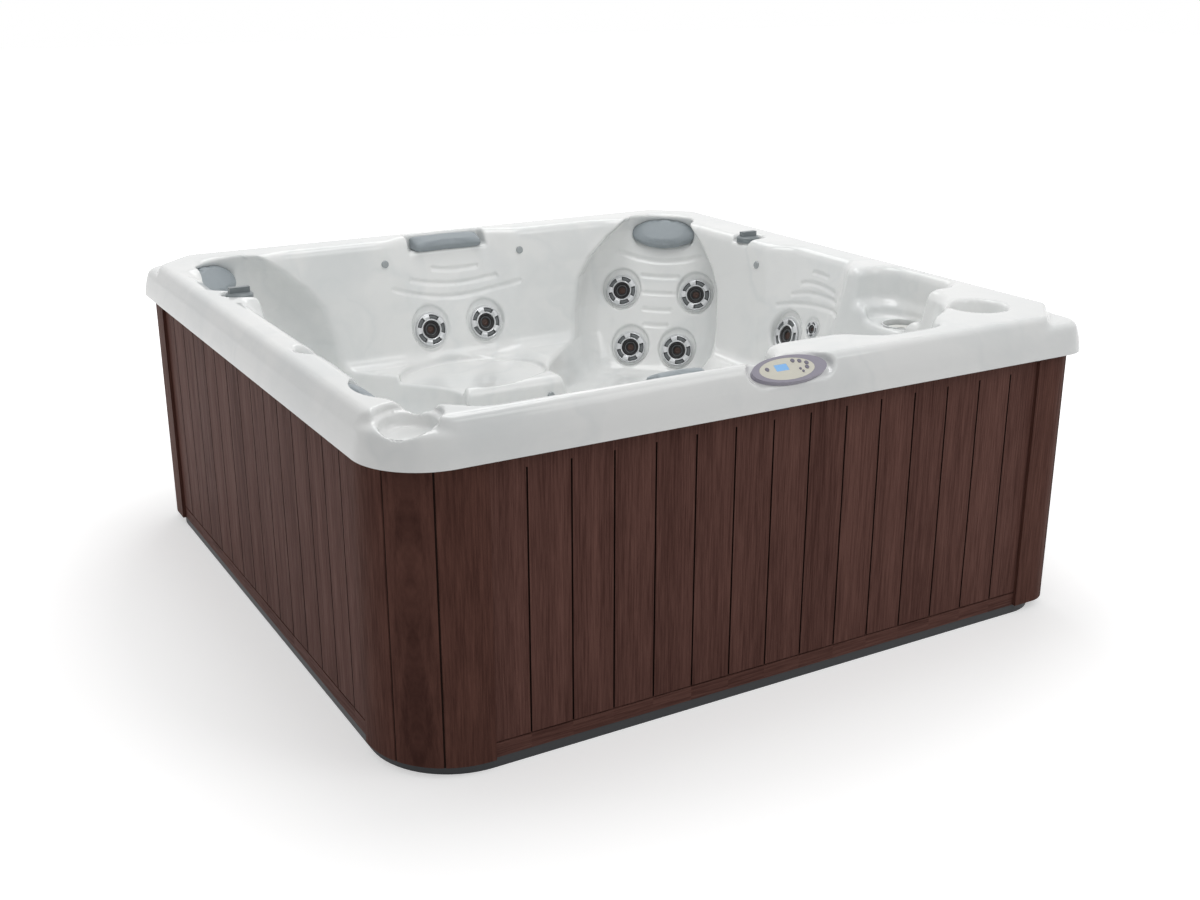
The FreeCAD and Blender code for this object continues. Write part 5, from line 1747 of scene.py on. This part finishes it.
PILLOW_SLIDES = {"back_left_pillow": (14.0, -14.0, -20.0), "back_right_pillow": (-14.0, -14.0, -20.0),
                 "left_pillow": (0.0, -28.0, 0.0)}


# Carried-over pieces

@dataclass
class CarriedPieces:
    """The CAD nodes that stay as they are, and their finishes; sizes in metres."""

    near_bend: float = 0.222
    far_bend: float = 0.087
    seam_share: float = 0.32

    def dress(self) -> None:
        """Give every carried-over CAD node its finish."""
        nodes = frame["nodes"]
        fixed = ("jet_fittings", "jet_nuts")
        by_finish = {
            BASE_PLASTIC: ["base_pan"], FOAM_BLOCK: ["floor_foam"],
            FITTING_PLASTIC: [*fixed, "knob_valves", "pump_wet_end"],
            LIGHT_LENS: ["wall_lights", "footwell_lights"], BEZEL_PLASTIC: ["control_bezel"],
            FACE_PLASTIC: ["control_face"], DISPLAY_GLASS: ["control_display"], MOTOR_PAINT: ["pump_motor"],
            PIPE_PLASTIC: ["suction_pipe", "discharge_pipe", "return_manifold", "filter_canister"],
            COVER_PLASTIC: ["suction_cover"], BOX_METAL: ["control_box"], HEATER_STEEL: ["heater_tube"],
            FILTER_CLOTH: ["filter_cartridge"], FRAME_TIMBER: ["lower_rails", "upper_rails", "frame_posts"],
            KNOB_PLASTIC: ["right_knob", "left_knob"],
            KEY_PLASTIC: [n for n in nodes if n.startswith("key_")],
            JET_CHROME: [n for n in nodes if n.startswith("jet_") and n not in fixed],
            PILLOW_SKIN: [n for n in nodes if n.endswith("_pillow")],
            SHELL_ACRYLIC: ["tub_shell"],
        }
        for finish, names in by_finish.items():
            finish.dress(*[nodes[n] for n in names])
            log.info("dressed %s in %s", ", ".join(names), finish.name)
        self._dress_cabinet(nodes)

    def _dress_cabinet(self, nodes: dict[str, Piece]) -> None:
        """Dress the side and corner panels, with painted shade in the seams where the solids have their
        grooves.

        Args:
            nodes: The CAD nodes by name.
        """
        for side, axis in (("front", 0), ("back", 0), ("left", 1), ("right", 1)):
            low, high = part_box(f"{side}_panel")
            boards = replace(CABINET_BOARD, name=f"{side}_boards", middle=(low[axis] + high[axis]) / 2)
            boards.dress(nodes[f"{side}_panel"])
            log.info("dressed %s_panel in boards about %.4f", side, boards.middle)
        for name in [n for n in nodes if n.endswith("_corner")]:
            low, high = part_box(name)
            face = max(abs(low[0]), abs(high[0]))
            bend = self.near_bend if name == "front_left_corner" else self.far_bend
            # Where the painted seam shade sits on the corner's bend.
            inset = bend * (1 - math.sin(self.seam_share * math.pi / 2))
            replace(CORNER_BOARD, name=f"{name}_boards", pitch=2 * (face - inset)).dress(nodes[name])
            log.info("dressed %s in boards with seams %.4f from its faces", name, inset)


# Studio

@dataclass(frozen=True)
class Lamp:
    """One soft square lamp: place and width in metres, and power in watts."""

    name: str
    place: Sizes
    width: float
    power: float


@dataclass
class Studio:
    """Camera, lamps, surround and floor, in metres and degrees."""

    lens: float = 42.54
    sensor: float = 36.0
    place: Sizes = (-2.0630, -3.6914, 1.8125)
    pitch: float = 19.031
    yaw: float = 30.163
    target: Sizes = (0.0, 0.0, 0.5)
    lamps: tuple[Lamp, ...] = (Lamp("key_panel", (1.9, -3.4, 3.8), 2.2, 26.0),
                               Lamp("back_panel", (1.4, 3.4, 4.2), 2.4, 28.0),
                               Lamp("top_panel", (0.1, 0.3, 4.4), 2.2, 50.0))
    surround: float = 0.48
    floor_half: float = 30.0
    floor_grey: float = 0.8
    glow_reach: Sizes = (1.4, 2.9)
    glow: Sizes = (0.46, 0.8)

    def build(self) -> None:
        """Set up the camera, the surround, the lamps and the floor."""
        scene = bpy.context.scene
        scene.view_settings.view_transform = "Standard"
        data = bpy.data.cameras.new("photo_camera")
        data.lens, data.sensor_width = self.lens, self.sensor
        camera = bpy.data.objects.new("photo_camera", data)
        camera.location = self.place
        camera.rotation_euler = (math.radians(90 - self.pitch), 0.0, math.radians(-self.yaw))
        scene.collection.objects.link(camera)
        scene.camera = camera
        self._world(scene)
        for lamp in self.lamps:
            self._lamp(lamp)
        self._floor()
        log.info("studio: camera, %d lamps and floor", len(self.lamps))

    def _world(self, scene: bpy.types.Scene) -> None:
        """Make a white surround that lights softly.

        Args:
            scene: The scene that gets it.
        """
        scene.world = bpy.data.worlds.new("studio")
        scene.world.use_nodes = True
        sketch = NodeSketch(scene.world.node_tree)
        back = sketch.own("BACKGROUND")
        back.inputs["Color"].default_value = (1, 1, 1, 1)
        sketch.link(sketch.ramp(self._seen(sketch), 0.0, 1.0, self.surround, 1.0), back.inputs["Strength"])

    @staticmethod
    def _seen(sketch: NodeSketch) -> Socket:
        """Whether a ray looks at the surround: straight, by reflection or through glass.

        Args:
            sketch: The tree to draw in.

        Returns:
            A value of 1 for such a ray.
        """
        path = sketch.add("ShaderNodeLightPath").outputs
        straight = sketch.math("MAXIMUM", path["Is Camera Ray"], path["Is Transmission Ray"])
        return sketch.math("MAXIMUM", straight, path["Is Glossy Ray"])

    def _lamp(self, lamp: Lamp) -> None:
        """Add one lamp aimed at the tub.

        Args:
            lamp: The lamp.
        """
        data = bpy.data.lights.new(lamp.name, "AREA")
        data.shape, data.size, data.energy = "SQUARE", lamp.width, lamp.power
        light = bpy.data.objects.new(lamp.name, data)
        light.location = lamp.place
        light.rotation_euler = (Vector(self.target) - Vector(lamp.place)).to_track_quat("-Z", "Y").to_euler()
        bpy.context.scene.collection.objects.link(light)

    def _floor(self) -> None:
        """Make a pale floor that keeps the tub's shadow."""
        corners = np.array([(-1, -1, 0), (1, -1, 0), (1, 1, 0), (-1, 1, 0)], float) * self.floor_half
        floor = new_mesh("studio_floor", corners, np.array([[0, 1, 2, 3]]))
        material = bpy.data.materials.new("floor_white")
        material.use_nodes = True
        sketch = NodeSketch(material.node_tree)
        shader = sketch.own("BSDF_PRINCIPLED")
        shader.inputs["Base Color"].default_value = rgba((self.floor_grey,) * 3)
        shader.inputs["Roughness"].default_value = 1.0
        shader.inputs["Emission Color"].default_value = (1, 1, 1, 1)
        away = sketch.add("ShaderNodeVectorMath", {0: sketch.place()}, operation="LENGTH").outputs["Value"]
        glow = sketch.ramp(away, *self.glow_reach, *self.glow)
        sketch.link(sketch.times(self._seen(sketch), glow), shader.inputs["Emission Strength"])
        floor.data.materials.append(material)


def main() -> None:
    """Build the pieces in order."""
    logging.basicConfig(level=logging.INFO)
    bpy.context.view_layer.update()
    CarriedPieces().dress()
    shell, jets = Shell(), JetFaces()
    pillows = [Pillow(node, PILLOW_SLIDES.get(node, Pillow.slide)) for node in frame["nodes"]
               if node.endswith("_pillow")]
    holes = jets.cut(shell.form)
    for pillow in pillows:
        pillow.cut(shell.form)
    ControlTray().cut(shell.form)
    shell.build(holes)
    jets.build()
    for pillow in pillows:
        pillow.build()
    Studio().build()


if __name__ == "__main__":
    main()
